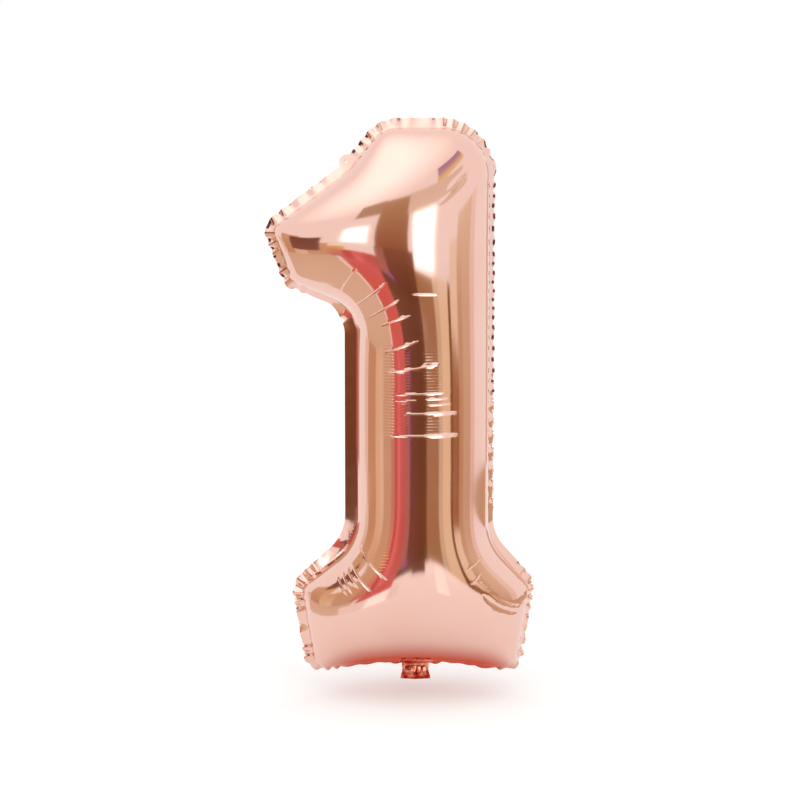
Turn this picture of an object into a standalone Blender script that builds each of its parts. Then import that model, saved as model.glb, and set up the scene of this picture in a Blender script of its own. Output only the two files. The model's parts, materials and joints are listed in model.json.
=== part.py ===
"""Foil number balloon, the digit 1, blown up, with its tail hanging down.

Two sheets of foil are heat-sealed together along a seam. Inside the seam the gas rounds each
sheet into a shell, and outside it a flat margin stays, which ruffles where the seam shrinks.
The tail is the neck that the balloon is filled through. It folds at its root, and a valve of
two thin plastic films runs through it into the balloon.

Units are metres, +Z is up and the front faces -Y. The origin is the middle of the tail's fold.
Run it with: blender --background --python part.py
"""

import math

import bmesh
import bpy
import numpy as np
from mathutils import Vector
from mathutils.geometry import delaunay_2d_cdt

# ---------------------------------------------------------------- driving dimensions
# The digit, measured to the seam of the blown-up balloon.
SEAM_HEIGHT = 0.664  # from the seam above the tail to the top seam
STEM_WIDTH = 0.166
STEM_SHIFT = 0.008  # the stem's middle, to the right of the tail
TOP_LEFT_REACH = 0.132  # from the stem's right side to the digit's upper left corner
FLAG_REACH = 0.103  # from the stem's left side to the flag's tip
FLAG_TIP_DROP = 0.124  # the tip under the top seam
FLAG_EDGE_LENGTH = 0.070  # the flag's short edge, from its tip to its heel
FLAG_EDGE_LEAN = 21.0  # degrees off the vertical
FLAG_ROOT_DROP = 0.221  # where the flag's lower edge meets the stem, under the top seam
SLOPE_DIP = 0.011  # how far the flag's upper edge is drawn in
SLOPE_DIP_PLACE = 0.62  # where it is drawn in, as a share of that edge from the tip
FOOT_WIDTH = 0.286  # at the shoulders
FOOT_BASE_WIDTH = 0.252
FOOT_HEIGHT = 0.093  # the shoulders over the neck's seam
FOOT_SHOULDER_RISE = 0.060  # from the shoulders up to the stem
FOOT_CORNER_DROP = 0.011  # the lower corners under the neck's seam
BASE_ARCH = 0.005  # the middle of the base's corner points over the neck's seam
TOP_RIGHT_RADIUS = 0.060
TOP_LEFT_RADIUS = 0.045
SLOPE_RADIUS = 0.090
TIP_RADIUS = 0.012
HEEL_RADIUS = 0.010
FLAG_ROOT_RADIUS = 0.048
FOOT_ROOT_RADIUS = 0.070
SHOULDER_RADIUS = 0.020
FOOT_CORNER_RADIUS = 0.014
FOOT_BASE_RADIUS = 0.600

# The foil and its sealed margin.
FOIL = 0.0004  # the wall of each sheet, drawn thick enough to be a solid
SHEET_GAP = 0.0003  # between sheets that are sealed together
MARGIN = 0.013  # from the seam to the cut edge
RUFFLE_PITCH = 0.025
RUFFLE_ANGLE = 26.0  # degrees that the margin swings out of its plane round a corner
STRAIGHT_RUFFLE = 0.30  # of that angle on a straight run
UNRUFFLED_LEAN = 90.0  # degrees of lean at which the ruffles would be gone
TURN_REACH = 0.020  # a corner is felt this far along the seam to each side
FULL_TURN = 0.35  # radians of turn within that reach that give the full ruffle
LEAN_FOOT_LEFT = 26.0  # degrees that the margin leans back, by the side that it is on
LEAN_STEM_LEFT = 5.0
LEAN_FLAG = 8.0  # at the flag's short edge
LEAN_RIGHT = 64.0
LEAN_TOP = 26.0
LEAN_BOTTOM = 62.0

# The three hanging tabs, which are lobes of the margin with a hole for a thread.
TAB_RADIUS = 0.010
TAB_HOLE_RADIUS = 0.002
TAB_REACH = 0.0075  # how far a tab stands out of the margin
TAB_FLAT = 0.019  # the margin stays flat this far to each side of a tab's middle
SLOPE_TAB_RISE = 0.010  # the first tab, above the dip in the flag's upper edge
SIDE_TAB_DROP = 0.048  # the second tab, under the top seam
BASE_TAB_INSET = 0.039  # the third tab, from the foot's right corner
TAB_HOLE_SIDES = 12
TAB_CUTTER_DEPTH = 0.009  # well through both sheets

# The tail and its neck.
NECK_RISE = 0.007  # from the tail's fold up to the seam
TAIL_LENGTH = 0.018
TAIL_ROOT_WIDTH = 0.034
TAIL_WAIST_WIDTH = 0.0325
TAIL_MOUTH_WIDTH = 0.0375
TAIL_WAIST_PLACE = 0.3  # of the way down the tail
TAIL_OPENING = 0.0032  # how far each tongue bows out at the mouth
TAIL_OPEN_PLACE = 0.55  # of the way down, from where it is fully bowed
CHANNEL_WIDTH = 0.026  # between the seals along the tail's two sides
FOLD_CLEARANCE = 0.0002  # between a tongue's end and its sheet as it swings past
LEAN_SPREAD = 0.018  # beside the neck, where the margin turns from hanging to leaning

# The valve.
FILM = 0.0002
FILM_GAP = 0.0003  # between the two films
FILM_WIDTH = 0.022
FILM_ABOVE = 0.070  # above the fold, inside the balloon
FILM_BELOW = 0.0115  # below the fold, inside the tail
FILM_CORNER_RADIUS = 0.005
FILM_CORNER_STEPS = 4
FILM_CLEARANCE = 0.0003  # between a film and the foil beside it

# Pleats fan out of the inner corners, and lie level across the stem. A fan is from its first to
# its last angle, in degrees counter-clockwise from +X about its corner's centre.
PLEAT_DEPTH = 0.0026
PLEAT_ANGLE = 12.5  # degrees from one pleat to the next
FLAG_PLEAT_REACH = 0.098  # how far from the seam the flag's fan runs
FLAG_FAN = (-12.0, 76.0)
FOOT_PLEAT_REACH = 0.066
FOOT_LEFT_FAN = (-63.0, 12.0)
FOOT_RIGHT_FAN = (168.0, 243.0)
PLEAT_RISE = 0.15  # of a pleat's length, over which it gets its depth
PLEAT_FADE = 0.6  # of its length, over which it dies out
BAND_DEPTH = 0.0012
BAND_PITCH = 0.015
BAND_ROWS = 5
BAND_WIDTH = 0.092
BAND_HEIGHT = 0.330  # the middle of the level pleats, above the neck's seam
BAND_FADE = 0.35  # of half the band's width, over which it dies out
BAND_END = 0.25  # of a pitch, that the band goes on past its last row

# How finely the curved sheet is cut into facets.
SEAM_STEP = 0.0068
SEAM_APART = 0.45  # of a step, that the even points keep from those of the neck and the tabs
BESIDE_NECK = 0.0045  # the first point of the seam beside the neck
TAB_POINT_ANGLES = range(-90, 91, 30)  # degrees round a tab's lobe
LATTICE_STEP = 0.0155
LATTICE_APART = 0.0096  # the least from a point of the lattice to any other
FAN_ROW_STEP = 0.014
FAN_APART = 0.0042  # the least from a point of a fan to any other
BAND_COLUMNS = 7
FIRST_ROW = 0.003  # the first row of points inside the seam
TONGUE_COLUMNS = 12
TONGUE_ROWS = 5
ARC_STEP = 4.0  # degrees
CORNER_ROOM = 0.48  # of each side next to a corner, that its arc may take
NORMAL_REACH = 0.003  # the seam's direction is read over this far to each side
SEAM_SAMPLES = 4000  # for finding the place on the seam nearest to a point
SAME_POINT = 1e-7

FOIL_COLOUR = (0.83, 0.47, 0.36, 1.0)
FOIL_ROUGHNESS = 0.18
FILM_COLOUR = (0.82, 0.84, 0.85, 1.0)
FILM_ROUGHNESS = 0.35

FRONT = -1
BACK = 1

# The corners that other forms are placed from, by their place in seam_corners.
SHOULDER, LEFT_ROOT, FLAG_ROOT, HEEL = 2, 3, 4, 5
DIP, TOP_RIGHT, RIGHT_ROOT, FOOT_RIGHT = 7, 9, 10, 12
UP_Y = np.array([0.0, 1.0, 0.0])


# ---------------------------------------------------------------- scene and materials
def clear_scene():
    for obj in list(bpy.data.objects):
        bpy.data.objects.remove(obj, do_unlink=True)


def make_collection(name):
    made = bpy.data.collections.new(name)
    bpy.context.scene.collection.children.link(made)
    return made


def make_material(name, colour, metallic, roughness):
    material = bpy.data.materials.new(name)
    material.use_nodes = True
    shader = material.node_tree.nodes["Principled BSDF"]
    shader.inputs["Base Color"].default_value = colour
    shader.inputs["Metallic"].default_value = metallic
    shader.inputs["Roughness"].default_value = roughness
    material.diffuse_color = colour
    return material


# ---------------------------------------------------------------- the digit's outline
def seam_corners():
    """The digit's corners as (x, z, radius), clockwise from the middle of its base."""
    base = NECK_RISE
    top = base + SEAM_HEIGHT
    stem_left = STEM_SHIFT - STEM_WIDTH / 2
    stem_right = STEM_SHIFT + STEM_WIDTH / 2
    tip_x = stem_left - FLAG_REACH
    tip_z = top - FLAG_TIP_DROP
    edge = math.radians(FLAG_EDGE_LEAN)
    heel_x = tip_x + FLAG_EDGE_LENGTH * math.sin(edge)
    heel_z = tip_z - FLAG_EDGE_LENGTH * math.cos(edge)
    upper_left_x = stem_right - TOP_LEFT_REACH
    slope = np.array([upper_left_x - tip_x, top - tip_z])
    inward = np.array([slope[1], -slope[0]]) / np.linalg.norm(slope)
    dip = np.array([tip_x, tip_z]) + SLOPE_DIP_PLACE * slope + SLOPE_DIP * inward
    shoulder = base + FOOT_HEIGHT
    root = shoulder + FOOT_SHOULDER_RISE
    corner = base - FOOT_CORNER_DROP
    return [
        (0.0, base + BASE_ARCH, FOOT_BASE_RADIUS),
        (-FOOT_BASE_WIDTH / 2, corner, FOOT_CORNER_RADIUS),
        (-FOOT_WIDTH / 2, shoulder, SHOULDER_RADIUS),
        (stem_left, root, FOOT_ROOT_RADIUS),
        (stem_left, top - FLAG_ROOT_DROP, FLAG_ROOT_RADIUS),
        (heel_x, heel_z, HEEL_RADIUS),
        (tip_x, tip_z, TIP_RADIUS),
        (dip[0], dip[1], SLOPE_RADIUS),
        (upper_left_x, top, TOP_LEFT_RADIUS),
        (stem_right, top, TOP_RIGHT_RADIUS),
        (stem_right, root, FOOT_ROOT_RADIUS),
        (FOOT_WIDTH / 2, shoulder, SHOULDER_RADIUS),
        (FOOT_BASE_WIDTH / 2, corner, FOOT_CORNER_RADIUS),
    ]


def rounded(corners):
    """The closed outline with each corner turned into an arc, and each arc's centre."""
    points = []
    centres = []
    count = len(corners)
    for i, (x, z, radius) in enumerate(corners):
        here = np.array([x, z])
        before = np.array(corners[i - 1][:2]) - here
        after = np.array(corners[(i + 1) % count][:2]) - here
        room = CORNER_ROOM * min(np.linalg.norm(before), np.linalg.norm(after))
        before /= np.linalg.norm(before)
        after /= np.linalg.norm(after)
        half = math.acos(np.clip(before @ after, -1, 1)) / 2
        reach = min(radius / math.tan(half), room)
        fitted = reach * math.tan(half)
        middle = (before + after) / np.linalg.norm(before + after)
        centre = here + middle * fitted / math.sin(half)
        start = here + before * reach - centre
        turn = math.pi - 2 * half
        side = np.sign(-before[0] * after[1] + before[1] * after[0])
        steps = max(2, round(math.degrees(turn) / ARC_STEP))
        for k in range(steps + 1):
            a = side * turn * k / steps
            c, s = math.cos(a), math.sin(a)
            points.append(centre + [c * start[0] - s * start[1], s * start[0] + c * start[1]])
        centres.append(centre)
    return np.array(points), np.array(centres)


class Seam:
    """The seam as a curve by its length s, from the middle of the base and clockwise."""

    def __init__(self):
        outline, self.centres = rounded(seam_corners())
        ends = np.roll(outline, -1, axis=0)
        low = outline[:, 1] < NECK_RISE + FOOT_HEIGHT
        crosses = (outline[:, 0] > 0) & (ends[:, 0] <= 0) & low
        i = int(np.flatnonzero(crosses)[0])
        share = outline[i, 0] / (outline[i, 0] - ends[i, 0])
        start = outline[i] + share * (ends[i] - outline[i])
        loop = np.vstack([[start], np.roll(outline, -i - 1, axis=0), [start]])
        self.loop = loop
        steps = np.linalg.norm(np.diff(loop, axis=0), axis=1)
        self.lengths = np.concatenate([[0.0], np.cumsum(steps)])
        self.total = self.lengths[-1]

    def point(self, s):
        s = np.mod(s, self.total)
        return np.stack([np.interp(s, self.lengths, self.loop[:, k]) for k in (0, 1)], -1)

    def normal(self, s):
        """The direction out of the digit, read over a short stretch so that it turns smoothly."""
        along = self.point(s + NORMAL_REACH) - self.point(s - NORMAL_REACH)
        along /= np.linalg.norm(along, axis=-1, keepdims=True)
        return np.stack([-along[..., 1], along[..., 0]], -1)

    def bulge(self, s):
        """1 where the seam turns round a convex corner, 0 where it is straight or hollow."""
        a, b = self.normal(s - TURN_REACH), self.normal(s + TURN_REACH)
        turn = a[..., 1] * b[..., 0] - a[..., 0] * b[..., 1]
        return np.clip(turn / FULL_TURN, 0, 1)

    def nearest(self, x, z):
        s = np.linspace(0, self.total, SEAM_SAMPLES, endpoint=False)
        return s[np.argmin(np.linalg.norm(self.point(s) - [x, z], axis=1))]


def smooth(value):
    t = np.clip(value, 0, 1)
    return t * t * (3 - 2 * t)


# ---------------------------------------------------------------- the sealed margin
def side_lean(seam, s):
    """The angle that the margin leans back by the side of the digit that it is on, in degrees."""
    n = seam.normal(s)
    heights = [seam_corners()[i][1] for i in (SHOULDER, LEFT_ROOT, FLAG_ROOT, HEEL)]
    left = [LEAN_FOOT_LEFT, LEAN_STEM_LEFT, LEAN_STEM_LEFT, LEAN_FLAG]
    parts = [
        (-n[..., 0], np.interp(seam.point(s)[..., 1], heights, left)),
        (n[..., 0], LEAN_RIGHT),
        (n[..., 1], LEAN_TOP),
        (-n[..., 1], LEAN_BOTTOM),
    ]
    return sum(np.clip(share, 0, None) ** 2 * angle for share, angle in parts)


def tab_places(seam):
    """The seam length at each tab, and its lean, which is that of the margin that carries it."""
    corners = seam_corners()
    slope, upper_right, foot_right = corners[DIP], corners[TOP_RIGHT], corners[FOOT_RIGHT]
    first = seam.nearest(slope[0] + SLOPE_TAB_RISE / 2, slope[1] + SLOPE_TAB_RISE)
    second = seam.nearest(upper_right[0], upper_right[1] - SIDE_TAB_DROP)
    third = seam.nearest(foot_right[0] - BASE_TAB_INSET, foot_right[1])
    tabs = np.array([first, second, third])
    return tabs, side_lean(seam, tabs)


def off_tabs(seam, s, tabs):
    """How far along the seam each s is from each tab's middle."""
    away = np.abs(np.subtract.outer(s, tabs))
    return np.minimum(away, seam.total - away)


def neck_share(x, s, seam):
    """1 on the neck, falling to 0 beside it where the margin has its own width and lean."""
    side = smooth((np.abs(x) - TAIL_ROOT_WIDTH / 2) / LEAN_SPREAD)
    on_base = np.minimum(s, seam.total - s) < FOOT_BASE_WIDTH / 2
    return np.where(on_base, 1 - side, 0.0)


def margin_width(seam, s, tabs):
    x = seam.point(s)[:, 0]
    away = off_tabs(seam, s, tabs).min(axis=1)
    lobe = np.sqrt(np.clip(TAB_RADIUS**2 - away**2, 0, None)) - TAB_RADIUS + TAB_REACH
    width = MARGIN + np.clip(lobe, 0, None)
    share = neck_share(x, s, seam)
    to_fold = seam.point(s)[:, 1]
    return width * (1 - share) + to_fold * share


def margin_lean(seam, s, tabs, tab_leans):
    """The angle of the margin out of the plane of the seam, in radians, leaning back."""
    lean = side_lean(seam, s)
    waves = round(seam.total / RUFFLE_PITCH)
    ripple = np.sin(2 * math.pi * waves * s / seam.total)
    share = STRAIGHT_RUFFLE + (1 - STRAIGHT_RUFFLE) * seam.bulge(s)
    total = lean + ripple * RUFFLE_ANGLE * share * (1 - lean / UNRUFFLED_LEAN)
    near = smooth((TAB_FLAT - off_tabs(seam, s, tabs)) / (TAB_FLAT - TAB_RADIUS))
    for share, tab_lean in zip(near.T, tab_leans):
        total += share * (tab_lean - total)
    return np.radians(total * (1 - neck_share(seam.point(s)[:, 0], s, seam)))


# ---------------------------------------------------------------- points over the digit
def seam_lengths(seam, tabs):
    """Where the seam has points: an even step, with the neck's and tabs' own edges put in."""
    count = round(seam.total / SEAM_STEP)
    even = np.arange(count) * seam.total / count
    channel = CHANNEL_WIDTH / 2
    root = TAIL_ROOT_WIDTH / 2
    neck = [0.0, channel / 2, channel, (channel + root) / 2, root, root + BESIDE_NECK]
    own = [side * x for x in neck for side in (-1, 1)]
    for tab in tabs:
        own += [tab + TAB_RADIUS * math.sin(math.radians(a)) for a in TAB_POINT_ANGLES]
    own = np.unique(np.round(np.mod(own, seam.total), 7))
    away = np.abs(np.subtract.outer(even, own))
    clear = np.minimum(away, seam.total - away).min(axis=1) > SEAM_APART * SEAM_STEP
    return np.sort(np.concatenate([even[clear], own]))


def inside(points, loop):
    """Whether each point is inside the closed loop, by counting crossings."""
    x, z = points[:, :1], points[:, 1:]
    ax, az = loop[:, 0], loop[:, 1]
    bx, bz = np.roll(ax, -1), np.roll(az, -1)
    spans = (az > z) != (bz > z)
    rise = np.where(bz == az, 1.0, bz - az)
    crossing = ax + (z - az) / rise * (bx - ax)
    return (spans & (x < crossing)).sum(axis=1) % 2 == 1


def fans(seam):
    """The pleats' fans, out of the digit's inner corners, each as the corner's centre, the
    seam's radius there, how far the pleats run, and the first and last angle in degrees."""
    found = []
    for corner, reach, angles in (
        (FLAG_ROOT, FLAG_PLEAT_REACH, FLAG_FAN),
        (LEFT_ROOT, FOOT_PLEAT_REACH, FOOT_LEFT_FAN),
        (RIGHT_ROOT, FOOT_PLEAT_REACH, FOOT_RIGHT_FAN),
    ):
        centre = seam.centres[corner]
        radius = np.linalg.norm(seam.loop - centre, axis=1).min()
        found.append((centre, radius, reach, *angles))
    return found


def pleat_drop(seam, points):
    """How far the pleats draw the sheet in at each point."""
    drop = np.zeros(len(points))
    for centre, radius, length, first, last in fans(seam):
        away = points - centre
        reach = (np.linalg.norm(away, axis=1) - radius) / length
        angle = np.degrees(np.arctan2(away[:, 1], away[:, 0]))
        angle = np.mod(angle - first + 90, 360) - 90
        span = last - first
        ends = smooth(angle / PLEAT_ANGLE) * smooth((span - angle) / PLEAT_ANGLE)
        swell = smooth(reach / PLEAT_RISE) * smooth((1 - reach) / PLEAT_FADE)
        wave = 0.5 - 0.5 * np.cos(2 * math.pi * angle / PLEAT_ANGLE)
        drop += PLEAT_DEPTH * ends * swell * wave
    up = (points[:, 1] - NECK_RISE - BAND_HEIGHT) / BAND_PITCH
    across = np.abs(points[:, 0] - STEM_SHIFT) / (BAND_WIDTH / 2)
    ends = smooth(BAND_ROWS / 2 + BAND_END - np.abs(up)) * smooth((1 - across) / BAND_FADE)
    return drop + BAND_DEPTH * ends * (0.5 + 0.5 * np.cos(2 * math.pi * up))


def fan_points(seam):
    """Points on the ridges and in the valleys of the pleats."""
    points = []
    for centre, radius, length, first, last in fans(seam):
        halves = round(2 * (last - first) / PLEAT_ANGLE)
        rows = round(length / FAN_ROW_STEP)
        for k in range(halves + 1):
            a = math.radians(first + k * PLEAT_ANGLE / 2)
            out = np.array([math.cos(a), math.sin(a)])
            for row in range(1, rows + 1):
                points.append(centre + out * (radius + row * length / rows))
    for row in range(-BAND_ROWS, BAND_ROWS + 1):
        z = NECK_RISE + BAND_HEIGHT + row * BAND_PITCH / 2
        for x in np.linspace(-BAND_WIDTH / 2, BAND_WIDTH / 2, BAND_COLUMNS):
            points.append(np.array([STEM_SHIFT + x, z]))
    return np.array(points)


def lattice_points(loop):
    """An even triangular lattice over the digit."""
    low, high = loop.min(axis=0), loop.max(axis=0)
    rise = LATTICE_STEP * math.sqrt(3) / 2
    points = []
    for row in range(int((high[1] - low[1]) / rise) + 1):
        start = low[0] + (row % 2) * LATTICE_STEP / 2
        for column in range(int((high[0] - low[0]) / LATTICE_STEP) + 1):
            points.append([start + column * LATTICE_STEP, low[1] + row * rise])
    return np.array(points)


def keep_apart(kept, more, least):
    """The points of more that lie at least this far from the kept ones and from each other."""
    kept = [np.array(p) for p in kept]
    added = []
    for point in more:
        if np.linalg.norm(np.array(kept) - point, axis=1).min() >= least:
            kept.append(point)
            added.append(point)
    return added


# ---------------------------------------------------------------- blowing it up
def inflate(plan, faces, held):
    """The height of each point of a sheet held at its seam. Its square is the sag of a
    membrane under an even load, which makes a long straight run a half circle."""
    count = len(plan)
    stiff = np.zeros((count, count))
    load = np.zeros(count)
    for face in faces:
        p = plan[list(face)]
        edges = np.array([p[2] - p[1], p[0] - p[2], p[1] - p[0]])
        area = abs(edges[0][0] * edges[1][1] - edges[0][1] * edges[1][0]) / 2
        stiff[np.ix_(face, face)] += edges @ edges.T / (4 * area)
        load[list(face)] += 2 * area / 3
    free = ~held
    sag = np.zeros(count)
    sag[free] = np.linalg.solve(stiff[np.ix_(free, free)], load[free])
    return np.sqrt(np.clip(sag, 0, None))


class Sheet:
    """The plan of both foil sheets, cut into triangles, and what each point does in 3D."""

    def __init__(self):
        seam = Seam()
        self.seam = seam
        self.tabs, self.tab_leans = tab_places(seam)
        self.s = seam_lengths(seam, self.tabs)
        count = len(self.s)
        self.on_seam = seam.point(self.s)
        self.out = seam.normal(self.s)
        self.width = margin_width(seam, self.s, self.tabs)
        cut_edge = self.on_seam + self.out * self.width[:, None]
        row = (self.on_seam - self.out * FIRST_ROW)[::2]
        loop = self.on_seam - self.out * FIRST_ROW
        inner = list(row)
        fan = fan_points(seam)
        fan = fan[inside(fan, loop)]
        inner += keep_apart(inner, fan, FAN_APART)
        lattice = lattice_points(seam.loop)
        lattice = lattice[inside(lattice, loop)]
        inner += keep_apart(inner, lattice, LATTICE_APART)
        plan = np.vstack([cut_edge, self.on_seam, np.array(inner)])
        ring = [(i, (i + 1) % count) for i in range(count)]
        edges = ring + [(a + count, b + count) for a, b in ring]
        inside_only = 1  # the filler's name for triangles inside the outer ring alone
        cut = delaunay_2d_cdt([Vector(p) for p in plan], edges, [], inside_only, SAME_POINT)
        assert len(cut[0]) == len(plan), "two points of the sheet's plan fell together"
        self.plan = np.array([tuple(p) for p in cut[0]])
        self.order = np.array([ids[0] for ids in cut[3]])
        self.faces = [tuple(face) for face in cut[2]]
        self.count = count
        self.height = self.shell_height()

    def shell_height(self):
        held = self.order < 2 * self.count
        shell = [f for f in self.faces if not (self.order[list(f)] < self.count).any()]
        height = inflate(self.plan, shell, held)
        return np.clip(height - pleat_drop(self.seam, self.plan), 0, None) * ~held

    def spread(self, points):
        """Half the room between the two sheets: more where the valve passes."""
        channel = CHANNEL_WIDTH / 2
        seal = (TAIL_ROOT_WIDTH - CHANNEL_WIDTH) / 4
        share = smooth((channel + seal - np.abs(points[:, 0])) / seal)
        low = points[:, 1] < NECK_RISE + FILM_ABOVE
        return SHEET_GAP / 2 + (valve_room() - SHEET_GAP / 2) * share * low

    def placed(self, side):
        """Each point's place on the inner face of the front or back sheet."""
        count = self.count
        lean = margin_lean(self.seam, self.s, self.tabs, self.tab_leans)
        gap = self.spread(self.plan)
        places = np.zeros((len(self.plan), 3))
        for i, k in enumerate(self.order):
            if k >= 2 * count:
                x, z = self.plan[i]
                places[i] = (x, side * (gap[i] + self.height[i]), z)
                continue
            edge = k < count
            k = k % count
            out = np.array([self.out[k][0], 0.0, self.out[k][1]])
            base = np.array([self.on_seam[k][0], 0.0, self.on_seam[k][1]])
            angle = lean[k] if edge else lean[k] / 2
            across = -math.sin(angle) * out + math.cos(angle) * UP_Y
            reach = self.width[k] if edge else 0.0
            along = math.cos(lean[k]) * out + math.sin(lean[k]) * UP_Y
            places[i] = base + reach * along + side * gap[i] * across
        return places


def valve_room():
    """From the middle to the inner face of the foil that lies over the valve."""
    return FILM_GAP / 2 + FILM + FILM_CLEARANCE


def fold_gap():
    """From the fold down to a tongue's end, which swings up beside its sheet's cut edge."""
    return math.sqrt((valve_room() + FOIL + FOLD_CLEARANCE) ** 2 - valve_room() ** 2)


# ---------------------------------------------------------------- making the objects
def add_object(name, mesh, collection, material):
    obj = bpy.data.objects.new(name, mesh)
    collection.objects.link(obj)
    obj.data.materials.append(material)
    return obj


def add_wall(obj, thickness):
    wall = obj.modifiers.new("wall", "SOLIDIFY")
    wall.thickness = thickness
    wall.offset = 1.0
    wall.use_even_offset = False
    wall.use_quality_normals = True


def face_outwards(bm, side):
    """Turns every face of an open sheet so that its normal points away from the other sheet."""
    bmesh.ops.recalc_face_normals(bm, faces=bm.faces)
    bm.normal_update()
    total = sum(face.normal.y * face.calc_area() for face in bm.faces)
    if total * side < 0:
        bmesh.ops.reverse_faces(bm, faces=bm.faces)


def make_panel(name, sheet, side, collection, material):
    """One foil sheet: the blown-up shell, its sealed margin and its half of the tabs."""
    bm = bmesh.new()
    verts = [bm.verts.new(place) for place in sheet.placed(side)]
    for face in sheet.faces:
        bm.faces.new([verts[i] for i in face])
    face_outwards(bm, side)
    mesh = bpy.data.meshes.new(name)
    bm.to_mesh(mesh)
    bm.free()
    mesh.shade_smooth()
    obj = add_object(name, mesh, collection, material)
    add_wall(obj, FOIL)
    return obj


def make_tab_cutters(sheet, collection):
    """Round cutters for the threads, one square through the middle of each tab's lobe."""
    cutters = []
    for i, (tab, lean) in enumerate(zip(sheet.tabs, np.radians(sheet.tab_leans))):
        on_seam = sheet.seam.point(tab)
        out = sheet.seam.normal(tab)
        out = np.array([out[0], 0.0, out[1]])
        along = math.cos(lean) * out + math.sin(lean) * UP_Y
        across = -math.sin(lean) * out + math.cos(lean) * UP_Y
        centre = np.array([on_seam[0], 0.0, on_seam[1]])
        centre += along * (MARGIN + TAB_REACH - TAB_RADIUS)
        bm = bmesh.new()
        bmesh.ops.create_cone(
            bm,
            cap_ends=True,
            segments=TAB_HOLE_SIDES,
            radius1=TAB_HOLE_RADIUS,
            radius2=TAB_HOLE_RADIUS,
            depth=TAB_CUTTER_DEPTH,
        )
        mesh = bpy.data.meshes.new(f"tab_hole_{i + 1}")
        bm.to_mesh(mesh)
        bm.free()
        cutter = bpy.data.objects.new(mesh.name, mesh)
        cutter.location = centre
        cutter.rotation_euler = Vector(across).to_track_quat("Z", "Y").to_euler()
        cutter.hide_render = True
        cutter.display_type = "WIRE"
        collection.objects.link(cutter)
        cutters.append(cutter)
    return cutters


def cut_holes(obj, cutters):
    for cutter in cutters:
        hole = obj.modifiers.new(cutter.name, "BOOLEAN")
        hole.operation = "DIFFERENCE"
        hole.solver = "EXACT"
        hole.object = cutter


def tail_half_width(drop):
    """Half the tail's width at a distance below its fold: drawn in at the waist, then flared."""
    narrowing = smooth(drop / TAIL_WAIST_PLACE)
    flare = smooth((drop - TAIL_WAIST_PLACE) / (1 - TAIL_WAIST_PLACE))
    width = TAIL_ROOT_WIDTH + (TAIL_WAIST_WIDTH - TAIL_ROOT_WIDTH) * narrowing
    return (width + (TAIL_MOUTH_WIDTH - TAIL_WAIST_WIDTH) * flare) / 2


def tongue_columns():
    """Where a tongue has points across it, as shares of half its width, at its root."""
    channel = CHANNEL_WIDTH / TAIL_ROOT_WIDTH
    seal = (1 - channel) / 2
    inner = np.linspace(-channel, channel, TONGUE_COLUMNS - 3)
    return np.concatenate([[-1.0, -channel - seal], inner, [channel + seal, 1.0]])


def make_tongue(name, side, collection, material, fold):
    """One foil half of the tail: sealed along its sides and bowed open at its mouth."""
    columns = tongue_columns()
    bm = bmesh.new()
    bmesh.ops.create_grid(bm, x_segments=TONGUE_COLUMNS, y_segments=TONGUE_ROWS, size=0.5)
    channel = CHANNEL_WIDTH / TAIL_ROOT_WIDTH
    for vert in bm.verts:
        drop = 0.5 - vert.co.y
        share = columns[round((vert.co.x + 0.5) * TONGUE_COLUMNS)]
        bow = TAIL_OPENING * smooth(drop / TAIL_OPEN_PLACE) * max(0.0, 1 - (share / channel) ** 2)
        sealed = abs(share) > channel + SAME_POINT
        inner = SHEET_GAP / 2 if sealed else valve_room()
        z = -fold_gap() - drop * (TAIL_LENGTH - fold_gap())
        vert.co = (share * tail_half_width(drop), side * (inner + bow), z)
    face_outwards(bm, side)
    mesh = bpy.data.meshes.new(name)
    bm.to_mesh(mesh)
    bm.free()
    mesh.shade_smooth()
    obj = add_object(name, mesh, collection, material)
    add_wall(obj, FOIL)
    obj.parent = fold
    return obj


def film_outline():
    """The valve film's outline, with rounded upper corners, as (x, z) from its lower left."""
    half = FILM_WIDTH / 2
    points = [(-half, -FILM_BELOW), (half, -FILM_BELOW)]
    for side in (1, -1):
        turn = np.linspace(0, math.pi / 2, FILM_CORNER_STEPS + 1)
        for a in turn[::side]:
            x = half - FILM_CORNER_RADIUS * (1 - math.cos(a))
            z = FILM_ABOVE - FILM_CORNER_RADIUS * (1 - math.sin(a))
            points.append((side * x, z))
    return points


def make_film(name, side, collection, material):
    """One film of the valve: a flat strip that closes against the other under pressure."""
    curve = bpy.data.curves.new(name, "CURVE")
    curve.dimensions = "2D"
    curve.fill_mode = "BOTH"
    curve.extrude = FILM / 2
    outline = film_outline()
    spline = curve.splines.new("POLY")
    spline.points.add(len(outline) - 1)
    for point, (x, z) in zip(spline.points, outline):
        point.co = (x, z, 0.0, 1.0)
    spline.use_cyclic_u = True
    obj = add_object(name, curve, collection, material)
    obj.rotation_euler = (math.pi / 2, 0.0, 0.0)
    obj.location = (0.0, side * (FILM_GAP + FILM) / 2, 0.0)
    return obj


def make_fold_axis(collection):
    """The tail turns about this empty, which lies on the fold."""
    axis = bpy.data.objects.new("tail_fold_axis", None)
    axis.empty_display_size = TAIL_LENGTH
    collection.objects.link(axis)
    return axis


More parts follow.
